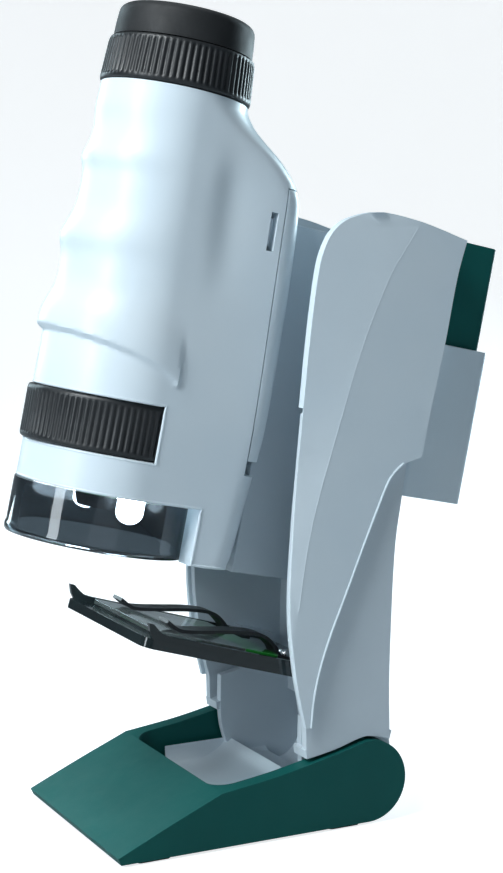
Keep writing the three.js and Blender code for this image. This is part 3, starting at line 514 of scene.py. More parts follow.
def glassy(name, tint, roughness, transmission, ior=1.49, bump=0.004):
    look = Look(name)
    smear = look.spread(look.noise(90.0, 5.0, 0.7), roughness, roughness + 0.07, 0.45, 0.8)
    waves = look.noise(60.0, 2.0)
    tone = look.mix(look.spread(look.noise(55.0, 3.0), 0.0, 0.5), tint, tuple(c * 0.9 for c in tint))
    look.set(
        Base_Color=tone,
        Roughness=smear,
        Transmission_Weight=transmission,
        IOR=ior,
        Normal=look.bump(waves, bump * MM),
    )
    return look.material


def metal(name, base, roughness, stretch=(1.0, 1.0, 0.05), brush=2600.0):
    look = Look(name)
    lines = look.noise(brush, 3.0, 0.6, stretch=stretch)
    tone = look.mix(look.spread(look.noise(300.0, 4.0), 0.0, 0.5), base, tuple(c * 0.72 for c in base))
    look.set(
        Base_Color=tone,
        Metallic=1.0,
        Roughness=look.spread(lines, roughness - 0.08, roughness + 0.12),
        Normal=look.bump(lines, 0.006 * MM),
    )
    return look.material


WHITE = moulded("white_plastic", (0.70, 0.79, 0.85), (0.66, 0.76, 0.83), 0.36)
# Painted shade: a darker copy of the white plastic for the column and saddle, which sit in the shade
# inside the tower.
WHITE_SHADED = moulded("white_column_shaded", (0.62, 0.70, 0.76), (0.58, 0.66, 0.72), 0.4)
GREEN = moulded(
    "green_plastic", (0.005, 0.1, 0.09), (0.004, 0.086, 0.078), 0.5, wear=0.3,
    Specular_IOR_Level=0.18,
)
BLACK = ribbed_black("black_plastic", (0.0125, 0.0145, 0.0165), 0.42)
RUBBER = ribbed_black("rubber", (0.0135, 0.015, 0.0165), 0.58, rubbery=True)
# Painted shade: the clear tip gets a dark tint, so that it also shows the shaded inside of the tube
# behind it.
TIP_TINTED_AS_SHADE = glassy("clear_plastic", (0.11, 0.135, 0.155), 0.03, 0.9)
SMOKE = glassy("smoke_plastic", (0.02, 0.03, 0.033), 0.05, 0.4)
GLASS = glassy("lens_glass", (0.88, 0.95, 0.97), 0.01, 1.0, ior=1.52, bump=0.001)
STEEL = metal("steel", (0.60, 0.62, 0.64), 0.26)
BRASS = metal("brass", (0.62, 0.44, 0.19), 0.32)


def slide_look():
    """Clear slide whose far end carries a green label panel."""
    look = Look("specimen_plastic")
    split = look.node("ShaderNodeSeparateXYZ")
    look.link(look.place, split.inputs["Vector"])
    label = look.spread(split.outputs["Y"], 0.0, 1.0, 0.0268, 0.0271)
    speck = look.spread(look.noise(420.0, 3.0), 0.0, 0.4, 0.4, 0.7)
    green = look.mix(speck, (0.012, 0.16, 0.022), (0.02, 0.24, 0.03))
    look.set(
        Base_Color=look.mix(label, (0.62, 0.72, 0.72), green),
        Transmission_Weight=look.spread(label, 0.9, 0.0, 0.0, 1.0),
        Roughness=look.spread(look.noise(120.0, 4.0), 0.04, 0.13),
        IOR=1.5,
        Normal=look.bump(look.noise(1800.0, 2.0), 0.002 * MM),
    )
    return look.material


def lamp_look():
    look = Look("lamp")
    glow = look.spread(look.noise(500.0, 2.0), 0.9, 1.0)
    look.set(
        Base_Color=(0.95, 0.98, 1.0),
        Roughness=look.spread(look.noise(300.0, 2.0), 0.1, 0.2),
        Emission_Color=(0.86, 0.95, 1.0),
        Emission_Strength=look.math("MULTIPLY", glow, 60.0),
    )
    return look.material


def cell_look():
    """Battery jacket: a printed sleeve with one plain band, metal ends left by its slot."""
    look = Look("battery_jacket")
    split = look.node("ShaderNodeSeparateXYZ")
    look.link(look.place, split.inputs["Vector"])
    band_at = look.spread(split.outputs["Z"], 0.0, 1.0, 0.105, 0.106)
    base = look.mix(band_at, (0.35, 0.25, 0.08), (0.02, 0.045, 0.12))
    scuff = look.spread(look.noise(900.0, 5.0), 0.0, 0.3, 0.5, 0.75)
    look.set(
        Base_Color=look.mix(scuff, base, (0.25, 0.26, 0.28)),
        Metallic=0.35,
        Roughness=look.spread(look.noise(200.0, 3.0), 0.25, 0.42),
        Normal=look.bump(look.noise(2500.0, 2.0), 0.004 * MM),
    )
    return look.material


def board_look():
    look = Look("circuit_board")
    tracks = look.node("ShaderNodeTexVoronoi", feature="DISTANCE_TO_EDGE")
    tracks.inputs["Scale"].default_value = 320.0
    look.link(look.place, tracks.inputs["Vector"])
    line = look.spread(tracks.outputs["Distance"], 1.0, 0.0, 0.03, 0.08)
    look.set(
        Base_Color=look.mix(line, (0.012, 0.09, 0.04), (0.03, 0.17, 0.08)),
        Roughness=look.spread(look.noise(300.0, 3.0), 0.3, 0.45),
        Normal=look.bump(line, 0.02 * MM),
    )
    return look.material


SLIDE = slide_look()
LAMP = lamp_look()
CELL = cell_look()
BOARD = board_look()

# ------------------------------------------------------------------ base
BASE_HALF = 27.0
ARM_INNER = 23.0
BASE_UNDER = 0.6
PIVOT = (62.5, 10.2)
PIVOT_RADIUS = 4.0
PIVOT_REACH = 2.3
TOE_LENGTH = 25.0
TOE_HEIGHT = 13.0
TOE_EDGE = 2.2
TOE_HOLLOW = (7.0, 23.0, 10.0)  # from, to, and its roof at the back
TOE_SKIN = 2.0
FORK_CORNER = 5.0
FORK_OPEN_BACK = 92.5
SOCKET_OVERSHOOT = 1.0
FOOT_HALF_X, FOOT_HALF_Y, FOOT_HEIGHT = 1.2, 4.0, 1.2
FOOT_X = 25.0
FOOT_PLACES = {
    "front_left": (-FOOT_X, 9.0),
    "front_right": (FOOT_X, 9.0),
    "rear_left": (-FOOT_X, 56.5),
    "rear_right": (FOOT_X, 56.5),
}


def make_base():
    arm_top = [(55, 18.1), (48, 16.6), (38, 14.7), (TOE_LENGTH, TOE_HEIGHT)]
    heel = arc(*PIVOT, PIVOT[1] - BASE_UNDER, -90, 94, 40)
    top = curved([heel[-1], *arm_top], 6)[1:]
    toe = curved([(TOE_LENGTH, TOE_HEIGHT), (12.5, 7.75), (0, TOE_EDGE)], 5)[1:]
    outline = [(0.8, BASE_UNDER), (PIVOT[0], BASE_UNDER), *heel[1:], *top, *toe]
    fork = prism(outline, -BASE_HALF, BASE_HALF)
    opening = rounded_rectangle(ARM_INNER, TOE_LENGTH, FORK_OPEN_BACK, FORK_CORNER, 10)
    rise = (TOE_HEIGHT - TOE_EDGE) / TOE_LENGTH
    start, end, roof = TOE_HOLLOW
    hollow = [(start, -1), (end, -1), (end, roof), (start, TOE_EDGE + rise * start - TOE_SKIN)]
    inside = ARM_INNER - SOCKET_OVERSHOOT
    tools = [prism(opening, -1, 30, "z"), prism(hollow, -inside, inside)]
    for side in (-1, 1):
        reach = sorted((side * inside, side * (ARM_INNER + PIVOT_REACH + GAP)))
        tools.append(rod(PIVOT_RADIUS + GAP, *reach, "x", *PIVOT))
    for x, y in FOOT_PLACES.values():
        u, v = FOOT_HALF_X + GAP, FOOT_HALF_Y + GAP
        tools.append(block(x - u, x + u, y - v, y + v, -1, FOOT_HEIGHT + GAP))
    cut(fork, *tools)
    place(
        fork, "base", LAYOUT, "base", GREEN, "green_plastic", ["base_fork"], bevel=0.55
    )


def make_feet():
    for where, (x, y) in FOOT_PLACES.items():
        pad = rounded_rectangle(FOOT_HALF_X, -FOOT_HALF_Y, FOOT_HALF_Y, 1.0)
        foot = prism([(x + u, y + v) for u, v in pad], 0.0, FOOT_HEIGHT, "z")
        name = f"foot_{where}"
        place(foot, f"pad_{where}", LAYOUT, "base", RUBBER, "rubber", [name], bevel=0.2)


# ------------------------------------------------------------------ tower
TOWER_HALF = 27.5
SHELL_WALL = 1.3
SHELL_RIM = 3.2
COLUMN_OUTER = 25.9
COLUMN_INNER = 23.9
LUG_OUTER = 21.8
LUG_INNER = 19.8
SHELL_FRONT = [
    (45.6, 25), (44.2, 31), (42.7, 39.2), (41.6, 52), (42.6, 70.5), (44.6, 91.4), (46.6, 110.8),
    (48.6, 125.3), (50.2, 131.5), (53, 136), (57.5, 138.6), (64.6, 139.6), (73.4, 137.8),
    (80.3, 135.6),
]
SHELL_BACK = [(86.8, 133.2), (84.2, 124.7), (81.1, 109.7), (77.8, 96), (75.2, 84.4)]
SHELL_LOW = [
    (70.8, 83.3), (68.2, 81.2), (66.3, 78.4), (63.8, 72.9), (60.8, 66.1), (56.9, 56.8),
    (52.1, 45.7), (49.4, 38), (47.9, 31.5), (47.2, 25),
]
COLUMN_BACK = [(74.4, 96), (72.4, 84), (70.9, 74.6), (69.2, 61.9), (68.2, 36.2), (68.4, 19.4)]
SHELF = [(46.6, 17.4), (50, 17.9), (55, 18.9), (59.5, 20.2), (63, 20.6), (68.4, 19.2)]
CREASE = [
    (36.8, 25), (39.2, 31), (41.4, 39.2), (43.6, 52), (46.8, 70.5), (53.2, 91.4), (59.8, 110.8),
    (66.4, 125.3), (70.5, 131.5), (73.6, 136), (75.6, 139.5), (76.4, 141),
]
FACET_DROP = 1.0
SCREW_X = 22.0
SCREW_Z = 90.0
SCREW_HOLE = 1.4
COLUMN_TOP = 96.0
COLUMN_TOP_FRONT = (46.5, COLUMN_TOP)
RIM_FRONT, RIM_BACK = (45.1, 97), (77.9, 97)  # where the shell's thick rim begins
SEAM = 0.2  # how far inside a face the walls behind it stop
LAP_BEAD, CREASE_BEAD = 0.38, 0.45
LEDGE_THICKNESS = 1.6
LEDGE_INNER, LEDGE_OUTER = 19.9, 24.4


def facet_cutter(side):
    """What the outer cheek loses in front of its crease."""
    rings = []
    for (crease, z), (front, _) in zip(curved(CREASE, 5), curved(SHELL_FRONT[:11], 5)):
        slope = FACET_DROP / max(crease - front, 6)
        far = front - 12
        rings.append(
            [
                (side * TOWER_HALF, crease, z),
                (side * (TOWER_HALF + 2), crease, z),
                (side * (TOWER_HALF + 2), far, z),
                (side * (TOWER_HALF - slope * (crease - far)), far, z),
            ]
        )
    return loft(rings)


def screw_holes():
    return [rod(SCREW_HOLE, 60, 95, "y", x, SCREW_Z) for x in (-SCREW_X, SCREW_X)]


def make_shell():
    front = curved(SHELL_FRONT, 5)
    back = curved(SHELL_BACK, 5)
    cheek = front + back + curved(SHELL_LOW, 4)
    shell = both_sides(cheek, TOWER_HALF - SHELL_WALL, TOWER_HALF)
    above = [p for p in front + back if p[1] > RIM_FRONT[1]]
    upper = [RIM_BACK, RIM_FRONT, *above]
    rim = both_sides(upper, TOWER_HALF - SHELL_RIM, TOWER_HALF - SHELL_WALL / 2)
    wall = prism(band(back, -WALL), -TOWER_HALF + SEAM, TOWER_HALF - SEAM)
    combine(shell, "UNION", rim, wall)
    cut(shell, facet_cutter(-1), facet_cutter(1), *screw_holes())
    for side in (-1, 1):
        lap = [(side * (TOWER_HALF - 0.15), y - 0.3, z) for y, z in curved(SHELL_LOW, 4)]
        crease = [(side * (TOWER_HALF - 0.4), y, z) for y, z in curved(CREASE[3:-2], 4)]
        combine(shell, "UNION", bead(lap, LAP_BEAD), bead(crease, CREASE_BEAD))
    return shell


def make_trough():
    """The hollow floor of the foot: low in the middle, swept up at both lugs."""
    edge, floor, sweep = LUG_OUTER - 0.4, 5.4, 4.5
    right = arc(edge - sweep, floor + sweep, sweep, 285, 356, 14)
    left = [(-x, z) for x, z in reversed(right)]
    outline = [(-edge, floor - 0.9), (edge, floor - 0.9), *reversed(right), *reversed(left)]
    return prism(outline, 33.0, 60.0, "y")


def make_column():
    inset = [(y + 0.8, z) for y, z in curved(SHELL_FRONT, 5) if z < COLUMN_TOP]
    back = curved(COLUMN_BACK, 5)
    shelf = curved(SHELF, 5)
    cheek = [*reversed(shelf), *inset, COLUMN_TOP_FRONT, *back]
    column = both_sides(cheek, COLUMN_INNER, COLUMN_OUTER)
    lug_arc = arc(*PIVOT, PIVOT[1] - 1, -90, 8, 24)
    foot_front = [(47.4, 18.7), (48, 12.8), (50.3, 6.4), (54.2, 2.9), (58.4, 1.5)]
    bent = curved(foot_front, 5)
    lug = [(47.6, 26), *bent, *lug_arc[1:], (70.4, 20), (68.3, 30)]
    floor_line = [*bent[10:], *lug_arc[1:], (70.4, 20), (68.4, 30)]
    lip_top = curved([(30.6, 5.6), (36, 5.5), (42, 5.9), (47, 7.4), (50.5, 9.6)], 6)
    lip = [(31.1, 3.7), (50.5, 4.4), *reversed(lip_top), (30.5, 5.2), (30.6, 4.2)]
    back_line = [*[p for p in back if p[1] > 21], (68.3, 20.4)]
    parts = [
        prism(band(back_line, -WALL), -COLUMN_OUTER + SEAM, COLUMN_OUTER - SEAM),
        both_sides(band(shelf, WALL), LUG_INNER + SEAM, COLUMN_OUTER - SEAM / 2),
        both_sides(lug, LUG_INNER, LUG_OUTER),
        prism(band(floor_line, WALL), -LUG_OUTER + SEAM, LUG_OUTER - SEAM),
        prism(lip, -LUG_OUTER + 2 * SEAM, LUG_OUTER - 2 * SEAM),
        make_trough(),
    ]
    for side in (-1, 1):
        reach = sorted((side * (LUG_INNER + SEAM), side * (ARM_INNER + PIVOT_REACH)))
        parts.append(rod(PIVOT_RADIUS, *reach, "x", *PIVOT))
        across = sorted((side * LEDGE_INNER, side * LEDGE_OUTER))
        for low in (-STAGE_THICKNESS - GAP - LEDGE_THICKNESS, GAP):
            ledge = block(*across, LEDGE_FROM, STAGE_LENGTH, low, low + LEDGE_THICKNESS)
            move = Matrix.Translation((0, STAGE_FRONT_Y, STAGE_FRONT_Z))
            ledge.data.transform(move @ Matrix.Rotation(-STAGE_SLOPE, 4, "X"))
            parts.append(ledge)
    combine(column, "UNION", *parts)
    cut(column, *screw_holes())
    return column


def refined(node, name, body, look, slot, width=0.15, segments=2):
    """The CAD node's own shape with its edges rounded and its faces joined up."""
    mesh = frame["nodes"][node].data.copy()
    mesh.materials.clear()
    shape = bmesh.new()
    shape.from_mesh(mesh)
    bmesh.ops.remove_doubles(shape, verts=shape.verts, dist=2e-6)
    shape.to_mesh(mesh)
    shape.free()
    mesh.transform(Matrix.Scale(1 / MM, 4))
    piece = bpy.data.objects.new(name, mesh)
    bpy.context.scene.collection.objects.link(piece)
    return place(
        piece, name, Matrix.Identity(4), body, look, slot, [node], bevel=width,
        segments=segments,
    )


# ------------------------------------------------------------------ stage
STAGE_THICKNESS = 2.2
STAGE_HALF = 23.6
STAGE_LENGTH = 56.0
STAGE_CORNER = 3.0
RIM_WIDTH = 1.2
LEDGE_FROM = 46.0
CLIP_X = 13.0
CLIP_HALF = 2.5
RIVET_Y = 41.0
RIVET_HOLE = 1.5
SLIDE_TOP = GAP + 1.1


def make_stage():
    half, corner = STAGE_HALF, STAGE_CORNER
    left = arc(-half + corner, corner, corner, 180, 270, 8)
    right = arc(half - corner, corner, corner, 270, 360, 8)
    outline = [*left, *right, (half, STAGE_LENGTH), (-half, STAGE_LENGTH)]
    plate = prism(outline, -STAGE_THICKNESS, 0, "z")
    rising = [(corner + 2, 1.3), (corner, 1.9), (corner - 2, 3.2)]
    top = curved([(LEDGE_FROM - 1, 1.2), (12, 1.2), *rising], 6)
    rim = [(corner, -1.6), (LEDGE_FROM - 1, -1.6), *top, (corner - 3.2, 3.2), (corner - 2.4, 1.2)]
    combine(plate, "UNION", both_sides(rim, half - RIM_WIDTH, half - 0.05))
    holes = []
    for side in (-1, 1):
        ring = arc(side * CLIP_X, RIVET_Y, RIVET_HOLE, 0, 348, 29)
        holes.append(prism(ring, -4, 1, "z"))
    cut(plate, *holes)
    place(plate, "stage", STAGE, "tower", SMOKE, "smoke_plastic", ["stage_plate"], bevel=0.35)


def make_clips():
    line = curved(
        [
            (RIVET_Y + 3, GAP), (RIVET_Y - 2.6, GAP), (RIVET_Y - 5, 2.4), (RIVET_Y - 8.5, 4.1),
            (RIVET_Y - 14, 3.9), (RIVET_Y - 21, 2.7), (RIVET_Y - 27, SLIDE_TOP + GAP),
            (RIVET_Y - 30, SLIDE_TOP + GAP), (RIVET_Y - 33, SLIDE_TOP + 1.6),
        ],
        6,
    )
    for name, side in (("left", -1), ("right", 1)):
        x = side * CLIP_X
        strip = prism(band(line, -0.8), x - CLIP_HALF, x + CLIP_HALF)
        cut(strip, prism(arc(x, RIVET_Y, RIVET_HOLE, 0, 348, 29), -1, 3, "z"))
        place(
            strip, f"spring_clip_{name}", STAGE, f"clip_{name}", BLACK, "black_plastic",
            [f"clip_{name}"], bevel=0.22,
        )
    pane = prism(rounded_rectangle(19, 5, 36, 1.0), GAP, SLIDE_TOP, "z")
    place(pane, "slide", STAGE, "specimen", SLIDE, "clear_plastic", ["specimen_slide"], bevel=0.2)


# ------------------------------------------------------------------ tube
FRONT_DEPTH = [
    (67.4, 19.6), (80, 19.5), (88, 19.4), (101, 19.4), (126, 19.4), (131, 19.4), (134, 19.7),
    (136, 19.5), (140, 18.5), (145, 17.9), (149, 17.7), (152, 18), (154, 17.7), (158, 17.1),
    (163, 16.9), (168.8, 16.6),
]
GRIP_DEPTH = [
    (107, 0), (114, 0), (118, 0.3), (123, 1.1), (129, 1), (134, 0), (137, 0.5), (142, 1.1),
    (148, 0.9), (152, 0), (155, 0.5), (159, 0.7), (164, 0),
]
HALF_WIDTH = [
    (67.4, 21), (80, 21.2), (96, 21.4), (108, 20.9), (120, 20), (135, 18.9), (150, 17.9),
    (158, 17.2), (164, 16.9), (168.8, 16.6),
]
BACK_DEPTH = [
    (67.4, 25), (70, 25.6), (83, 26.8), (101, 28.4), (119, 28.9), (133, 29.2), (149, 28.8),
    (154.3, 27.2), (158.3, 24.4), (162, 20.6), (165, 18), (168.8, 16.6),
]
SIDE_VALLEY = [(122, 0), (132, 0.5), (142, 0.9), (150, 0.9), (156, 0.3), (162, 0)]
CORNER_RADIUS = [(67.4, 5), (150, 5.5), (158, 9), (164, 14), (168.8, 16.6)]
BROW_RISE = 1.6
BROW_HALF_ANGLE = 100 * DEG
RING_LOW, RING_HIGH, RING_RADIUS = 88.6, 100.4, 20.6
TIP_LOW, TIP_HIGH, TIP_RADIUS = 67.4, 79.6, 20.4
NECK_TOP = 168.8


def back_radius(half, depth, corner, angle):
    dx, dy = math.cos(angle), math.sin(angle)
    cx, cy = half - corner, depth - corner
    to_corner = dx * cx + dy * cy
    spare = to_corner**2 - (cx * cx + cy * cy - corner * corner)
    if spare > 0:
        reach = to_corner + math.sqrt(spare)
        if dx * reach >= cx and dy * reach >= cy:
            return reach
    return min(half / max(dx, 1e-6), depth / max(dy, 1e-6))


def brow(height, angle):
    """The arched step above the focus window, highest at the front."""
    from_front = abs(math.remainder(angle + math.pi / 2, 2 * math.pi))
    share = from_front / BROW_HALF_ANGLE
    if share >= 1:
        return 0.0
    edge = 103.5 + 9.5 * math.sqrt(1 - share * share)
    rise = ease((height - edge + 0.3) / 1.3)
    fall = 1 - ease((height - edge - 3.5) / 10.0)
    return BROW_RISE * (1 - 0.6 * share * share) * rise * fall


def tube_point(height, angle):
    half = smooth(HALF_WIDTH, height)
    front = smooth(FRONT_DEPTH, height)
    back = smooth(BACK_DEPTH, height)
    corner = max(smooth(CORNER_RADIUS, height), 1.0)
    sideways, backwards = abs(math.cos(angle)), math.sin(angle)
    if backwards < 0:
        radius = 1 / math.hypot(sideways / half, backwards / front)
        radius -= smooth(GRIP_DEPTH, height) * backwards**2
    else:
        radius = back_radius(half, back, corner, math.asin(min(backwards, 1.0)))
        from_valley = (backwards - 0.52) / 0.17
        radius -= smooth(SIDE_VALLEY, height) * math.exp(-from_valley * from_valley)
    radius += brow(height, angle)
    return radius * math.cos(angle), radius * math.sin(angle), height


TUBE_STEPS = 168


def tube_solid():
    heights = []
    height = TIP_LOW
    while height < NECK_TOP - 0.2:
        heights.append(height)
        height += 0.55 if 100 < height < 116 else 1.1
    heights.append(NECK_TOP)
    return loft(
        [
            [tube_point(h, 2 * math.pi * k / TUBE_STEPS) for k in range(TUBE_STEPS)]
            for h in heights
        ]
    )


def angle_at_depth(height, depth):
    """Angle on the right-hand side at which the tube's surface reaches a depth."""
    low, high = -math.pi / 2, math.pi / 2
    for _ in range(30):
        middle = (low + high) / 2
        if tube_point(height, middle)[1] < depth:
            low = middle
        else:
            high = middle
    return low


def on_surface(height, angle, sink):
    x, y, z = tube_point(height, angle)
    length = math.hypot(x, y)
    return x * (1 - sink / length), y * (1 - sink / length), z


def front_loop(low, high, depth, sink, steps=72):
    """A closed line round an opening in the front of the tube."""
    line = []
    right_high = angle_at_depth(high, depth)
    for k in range(steps + 1):
        angle = right_high + (-math.pi - 2 * right_high) * k / steps
        line.append(on_surface(high, angle, sink))
    for k in range(1, 8):
        height = high + (low - high) * k / 8
        line.append(on_surface(height, math.pi - angle_at_depth(height, depth), sink))
    right_low = angle_at_depth(low, depth)
    for k in range(steps + 1):
        angle = math.pi - right_low - 2 * math.pi + (math.pi + 2 * right_low) * k / steps
        line.append(on_surface(low, angle, sink))
    for k in range(1, 8):
        height = low + (high - low) * k / 8
        line.append(on_surface(height, angle_at_depth(height, depth), sink))
    return line


def tip_loop(sink):
    """A closed line up the sides of the cut for the clear tip and round the back's foot."""
    high, low, depth, steps = TIP_HIGH + GAP + 0.25, TIP_LOW + 0.3, 14.7, 72
    line = []
    start = angle_at_depth(high, depth)
    for k in range(steps + 1):
        angle = start + (-math.pi - 2 * start) * k / steps
        line.append(on_surface(high, angle, sink))
    for k in range(1, 10):
        height = high + (low - high) * k / 10
        line.append(on_surface(height, math.pi - angle_at_depth(height, depth), sink))
    end = angle_at_depth(low, depth)
    for k in range(steps + 1):
        angle = math.pi - end + (2 * end - math.pi) * k / steps
        line.append(on_surface(low, angle, sink))
    for k in range(1, 10):
        height = low + (high - low) * k / 10
        line.append(on_surface(height, angle_at_depth(height, depth), sink))
    return line


COVER_LOW, COVER_HIGH, COVER_SEAM = 92.0, 152.5, 23.6
CELL_RADIUS, CELL_X, CELL_Y = 5.25, 6.1, 20.4
CELL_LOW = RING_HIGH + 2.6
CELL_HIGH = CELL_LOW + 44.5
BAY_LOW = CELL_LOW - 1.1
BAY_HIGH = CELL_HIGH + 1.1
BAY_HALF = CELL_X + CELL_RADIUS + GAP + 0.5
COVER_TRAVEL = 3.0
FAR = 30.0  # past the tube's surface, for the tools that cut it
BAY_FRONT = 14.5
TIP_WINDOW_BACK = 14.4
RING_WINDOW_BACK = 1.6
WINDOW_BEAD = 0.36
LATCH = (14.6, 16.2, 20.4, 24.2, 139.4, 145.6)
BUTTON_PLACE = Matrix.Translation((0, 22.4, 160.2)) @ Matrix.Rotation(-43 * DEG, 4, "X")


def side_block(side, x0, x1, *rest):
    return block(*sorted((side * x0, side * x1)), *rest)


def cover_block(clearance, notch=0.0):
    return block(
        -FAR, FAR, COVER_SEAM - clearance, 40, COVER_LOW - clearance - notch,
        COVER_HIGH + clearance,
    )


def make_tube():
    body = tube_solid()
    bore = [(0, 60)]
    for height in (60, 100, 130, 150, 160):
        fit = min(smooth(FRONT_DEPTH, height), smooth(HALF_WIDTH, height))
        bore.append((fit - 2.9, height))
    bore += [(13.4, 175), (0, 175)]
    tools = [
        turned(bore, 72),
        block(-BAY_HALF, BAY_HALF, BAY_FRONT, 40, BAY_LOW, BAY_HIGH),
        cover_block(GAP, COVER_TRAVEL),
        turned([(0, 60), (TIP_RADIUS + GAP, 60), (TIP_RADIUS + GAP, 79.9), (0, 79.9)], 96),
        block(-FAR, FAR, -FAR, TIP_WINDOW_BACK, 60, TIP_HIGH + GAP),
        turned(
            [(0, RING_LOW - GAP), (20.9, RING_LOW - GAP), (20.9, RING_HIGH + GAP),
             (0, RING_HIGH + GAP)], 96,
        ),
        block(-FAR, FAR, -FAR, RING_WINDOW_BACK, RING_LOW - GAP, RING_HIGH + GAP),
    ]
    hole = prism(rounded_rectangle(5.3, -4.9, 4.9, 1.6), -3.4, 5, "z")
    hole.data.transform(BUTTON_PLACE)
    tools.append(hole)
    for side in (-1, 1):
        tools.append(side_block(side, 14.3, FAR, 20, 21.7, 138.2, 146.8))
        tools.append(side_block(side, 14.3, 16.5, 20.1, 21.7, 136.1, 145.9))
    cut(body, *tools)
    foot = block(-3, 3, 24, 35.3, 70, 88)
    head = block(-6, 6, 33.2, 35.8, 70, 88)
    combine(body, "UNION", foot, head)
    loop = front_loop(RING_LOW - GAP - 0.22, RING_HIGH + GAP + 0.22, 1.82, 0.22)
    attach(body, bead(loop, WINDOW_BEAD, closed=True))
    attach(body, bead(tip_loop(0.24), WINDOW_BEAD, closed=True))
    place(body, "tube", TUBE, "tube", WHITE, "white_plastic", ["tube_body"], sharp=38)


def make_cover():
    skin = combine(tube_solid(), "INTERSECT", cover_block(0))
    cut(skin, block(-CELL_X - 6.5, CELL_X + 6.5, 0, 27, BAY_LOW, CELL_HIGH + 3.6))
    latches = [side_block(side, *LATCH) for side in (-1, 1)]
    combine(skin, "UNION", *latches)
    place(skin, "cover", TUBE, "cover", WHITE, "white_plastic", ["battery_cover"], sharp=38)


def make_button():
    key = prism(rounded_rectangle(5, -4.6, 4.6, 1.4), -1.6, 1.2, "z")
    ridges = []
    for k in range(-2, 3):
        y = 1.5 * k
        ridges.append(bead([(-3.4, y, 1.2), (3.4, y, 1.2)], 0.28))
    attach(key, *ridges)
    key.data.transform(BUTTON_PLACE)
    place(
        key, "button", TUBE, "button", BLACK, "black_plastic", ["power_button"], bevel=0.12
    )


# ------------------------------------------------------------------ rings
def rib_wave(count, depth, rows):
    """Flat-topped ribs on the profile rows given."""

    def wave(row, angle):
        if row not in rows:
            return 0.0
        t = (angle * count / (2 * math.pi)) % 1.0
        return depth * ease((abs(t - 0.5) - 0.18) / 0.2) * rows[row]

    return wave


def make_rings():
    low, high, r = NECK_TOP + GAP, 179.0, 16.3
    profile = [
        (12.2, low), (r + 0.3, low), (r + 0.6, low + 0.25), (r + 0.7, low + 0.8),
        (r + 0.68, low + 1.2), (r + 0.66, low + 1.5), (r + 0.2, high - 1.4),
        (r + 0.12, high - 1.0), (r + 0.05, high - 0.6), (r - 0.1, high - 0.2),
        (r - 0.4, high), (12.2, high),
    ]
    ribs = rib_wave(72, 0.34, {4: 0.5, 5: 1, 6: 1, 7: 0.6})
    knob = turned(profile, 72 * 8, ribs)
    place(knob, "zoom_grip", TUBE, "eyepiece", BLACK, "black_plastic", ["zoom_ring"], sharp=50)

    top, foot = 186.6, high + GAP
    cup = [
        (10.2, foot), (15.6, foot), (15.62, foot + 0.5), (15.55, foot + 2.5),
        (15.3, top - 2), (15.15, top - 1.3), (14.8, top - 0.75), (14.3, top - 0.35),
        (13.8, top - 0.1), (13.2, top), (12.6, top - 0.1), (12.2, top - 0.4), (11.7, top - 1.2),
        (10.9, top - 3.2), (10.4, top - 3.9), (10.2, top - 4.2),
    ]
    place(
        turned(cup, 144), "eyecup_rim", TUBE, "eyepiece", RUBBER, "rubber", ["eyecup"], sharp=60
    )

    r = RING_RADIUS
    wheel = [
        (17.4, RING_LOW), (r - 0.5, RING_LOW), (r - 0.2, RING_LOW + 0.2), (r, RING_LOW + 0.8),
        (r, RING_LOW + 1.2), (r, RING_LOW + 1.6), (r, RING_HIGH - 1.6), (r, RING_HIGH - 1.2),
        (r, RING_HIGH - 0.8), (r - 0.2, RING_HIGH - 0.2), (r - 0.5, RING_HIGH),
        (17.4, RING_HIGH),
    ]
    ribs = rib_wave(90, 0.32, {4: 0.3, 5: 1, 6: 1, 7: 0.3})
    place(
        turned(wheel, 90 * 8, ribs), "focus_wheel", TUBE, "focus_knob", BLACK,
        "black_plastic", ["focus_ring"], sharp=50,
    )


def make_tip():
    r, low, high = TIP_RADIUS, TIP_LOW, TIP_HIGH
    shell = [
        (r - 1.5, low + 1), (r - 1.3, low + 0.3), (r - 0.9, low), (r - 0.4, low + 0.1),
        (r - 0.1, low + 0.5), (r, low + 1), (r - 0.05, low + 1.8), (r - 0.3, low + 2.3),
        (r - 0.35, high - 1.5), (r - 0.4, high), (r - 1.8, high), (r - 1.75, high - 1.5),
        (r - 1.55, low + 2.4),
    ]
    place(turned(shell, 144), "tip", TUBE, "tube", TIP_TINTED_AS_SHADE, "clear_plastic", ["clear_tip"], sharp=50)


def make_lamps():
    low = 80.4 - GAP
    for name, side in (("left", -1), ("right", 1)):
        dome = [(0, low - 6.6)]
        for k in range(1, 9):
            angle = k * math.pi / 16
            dome.append((3 * math.sin(angle), low - 3.6 - 3 * math.cos(angle)))
        dome += [(3, low - 0.8), (3.2, low - 0.8), (3.2, low), (0, low)]
        lamp = turned(dome, 48, x=side * 12.6, y=1.5)
        place(
            lamp, f"led_{name}", TUBE, "tube", LAMP, "lamp", [f"lamp_{name}"], sharp=50
        )


# ------------------------------------------------------------------ back of the tower
def make_storage():
    outer = rounded_rectangle(18, 66, 83.6, 2)
    sleeve = prism(outer, 89.6, 126, "z")
    inner = prism(rounded_rectangle(16.5, 67.5, 82.1, 1), 91.1, 127, "z")
    cut(sleeve, inner, block(-5, 5, 71, 78.6, 88, 93))
    place(sleeve, "sleeve", TUBE, "tower", WHITE, "white_plastic", ["rear_sleeve"], bevel=0.35)

    low, high, back = 91.4, 150.5, 81.8
    box = prism(rounded_rectangle(16.2, 67.8, back, 1.2), low, high, "z")
    cut(box, prism(rounded_rectangle(14.6, 69.4, back - 1.6, 1), low + 1.6, high + 1, "z"))
    ridge = block(-2, 2, back - 0.3, back + 1, 127, high)
    combine(box, "UNION", ridge)
    place(box, "drawer", TUBE, "case", GREEN, "green_plastic", ["storage_case"], bevel=0.35)


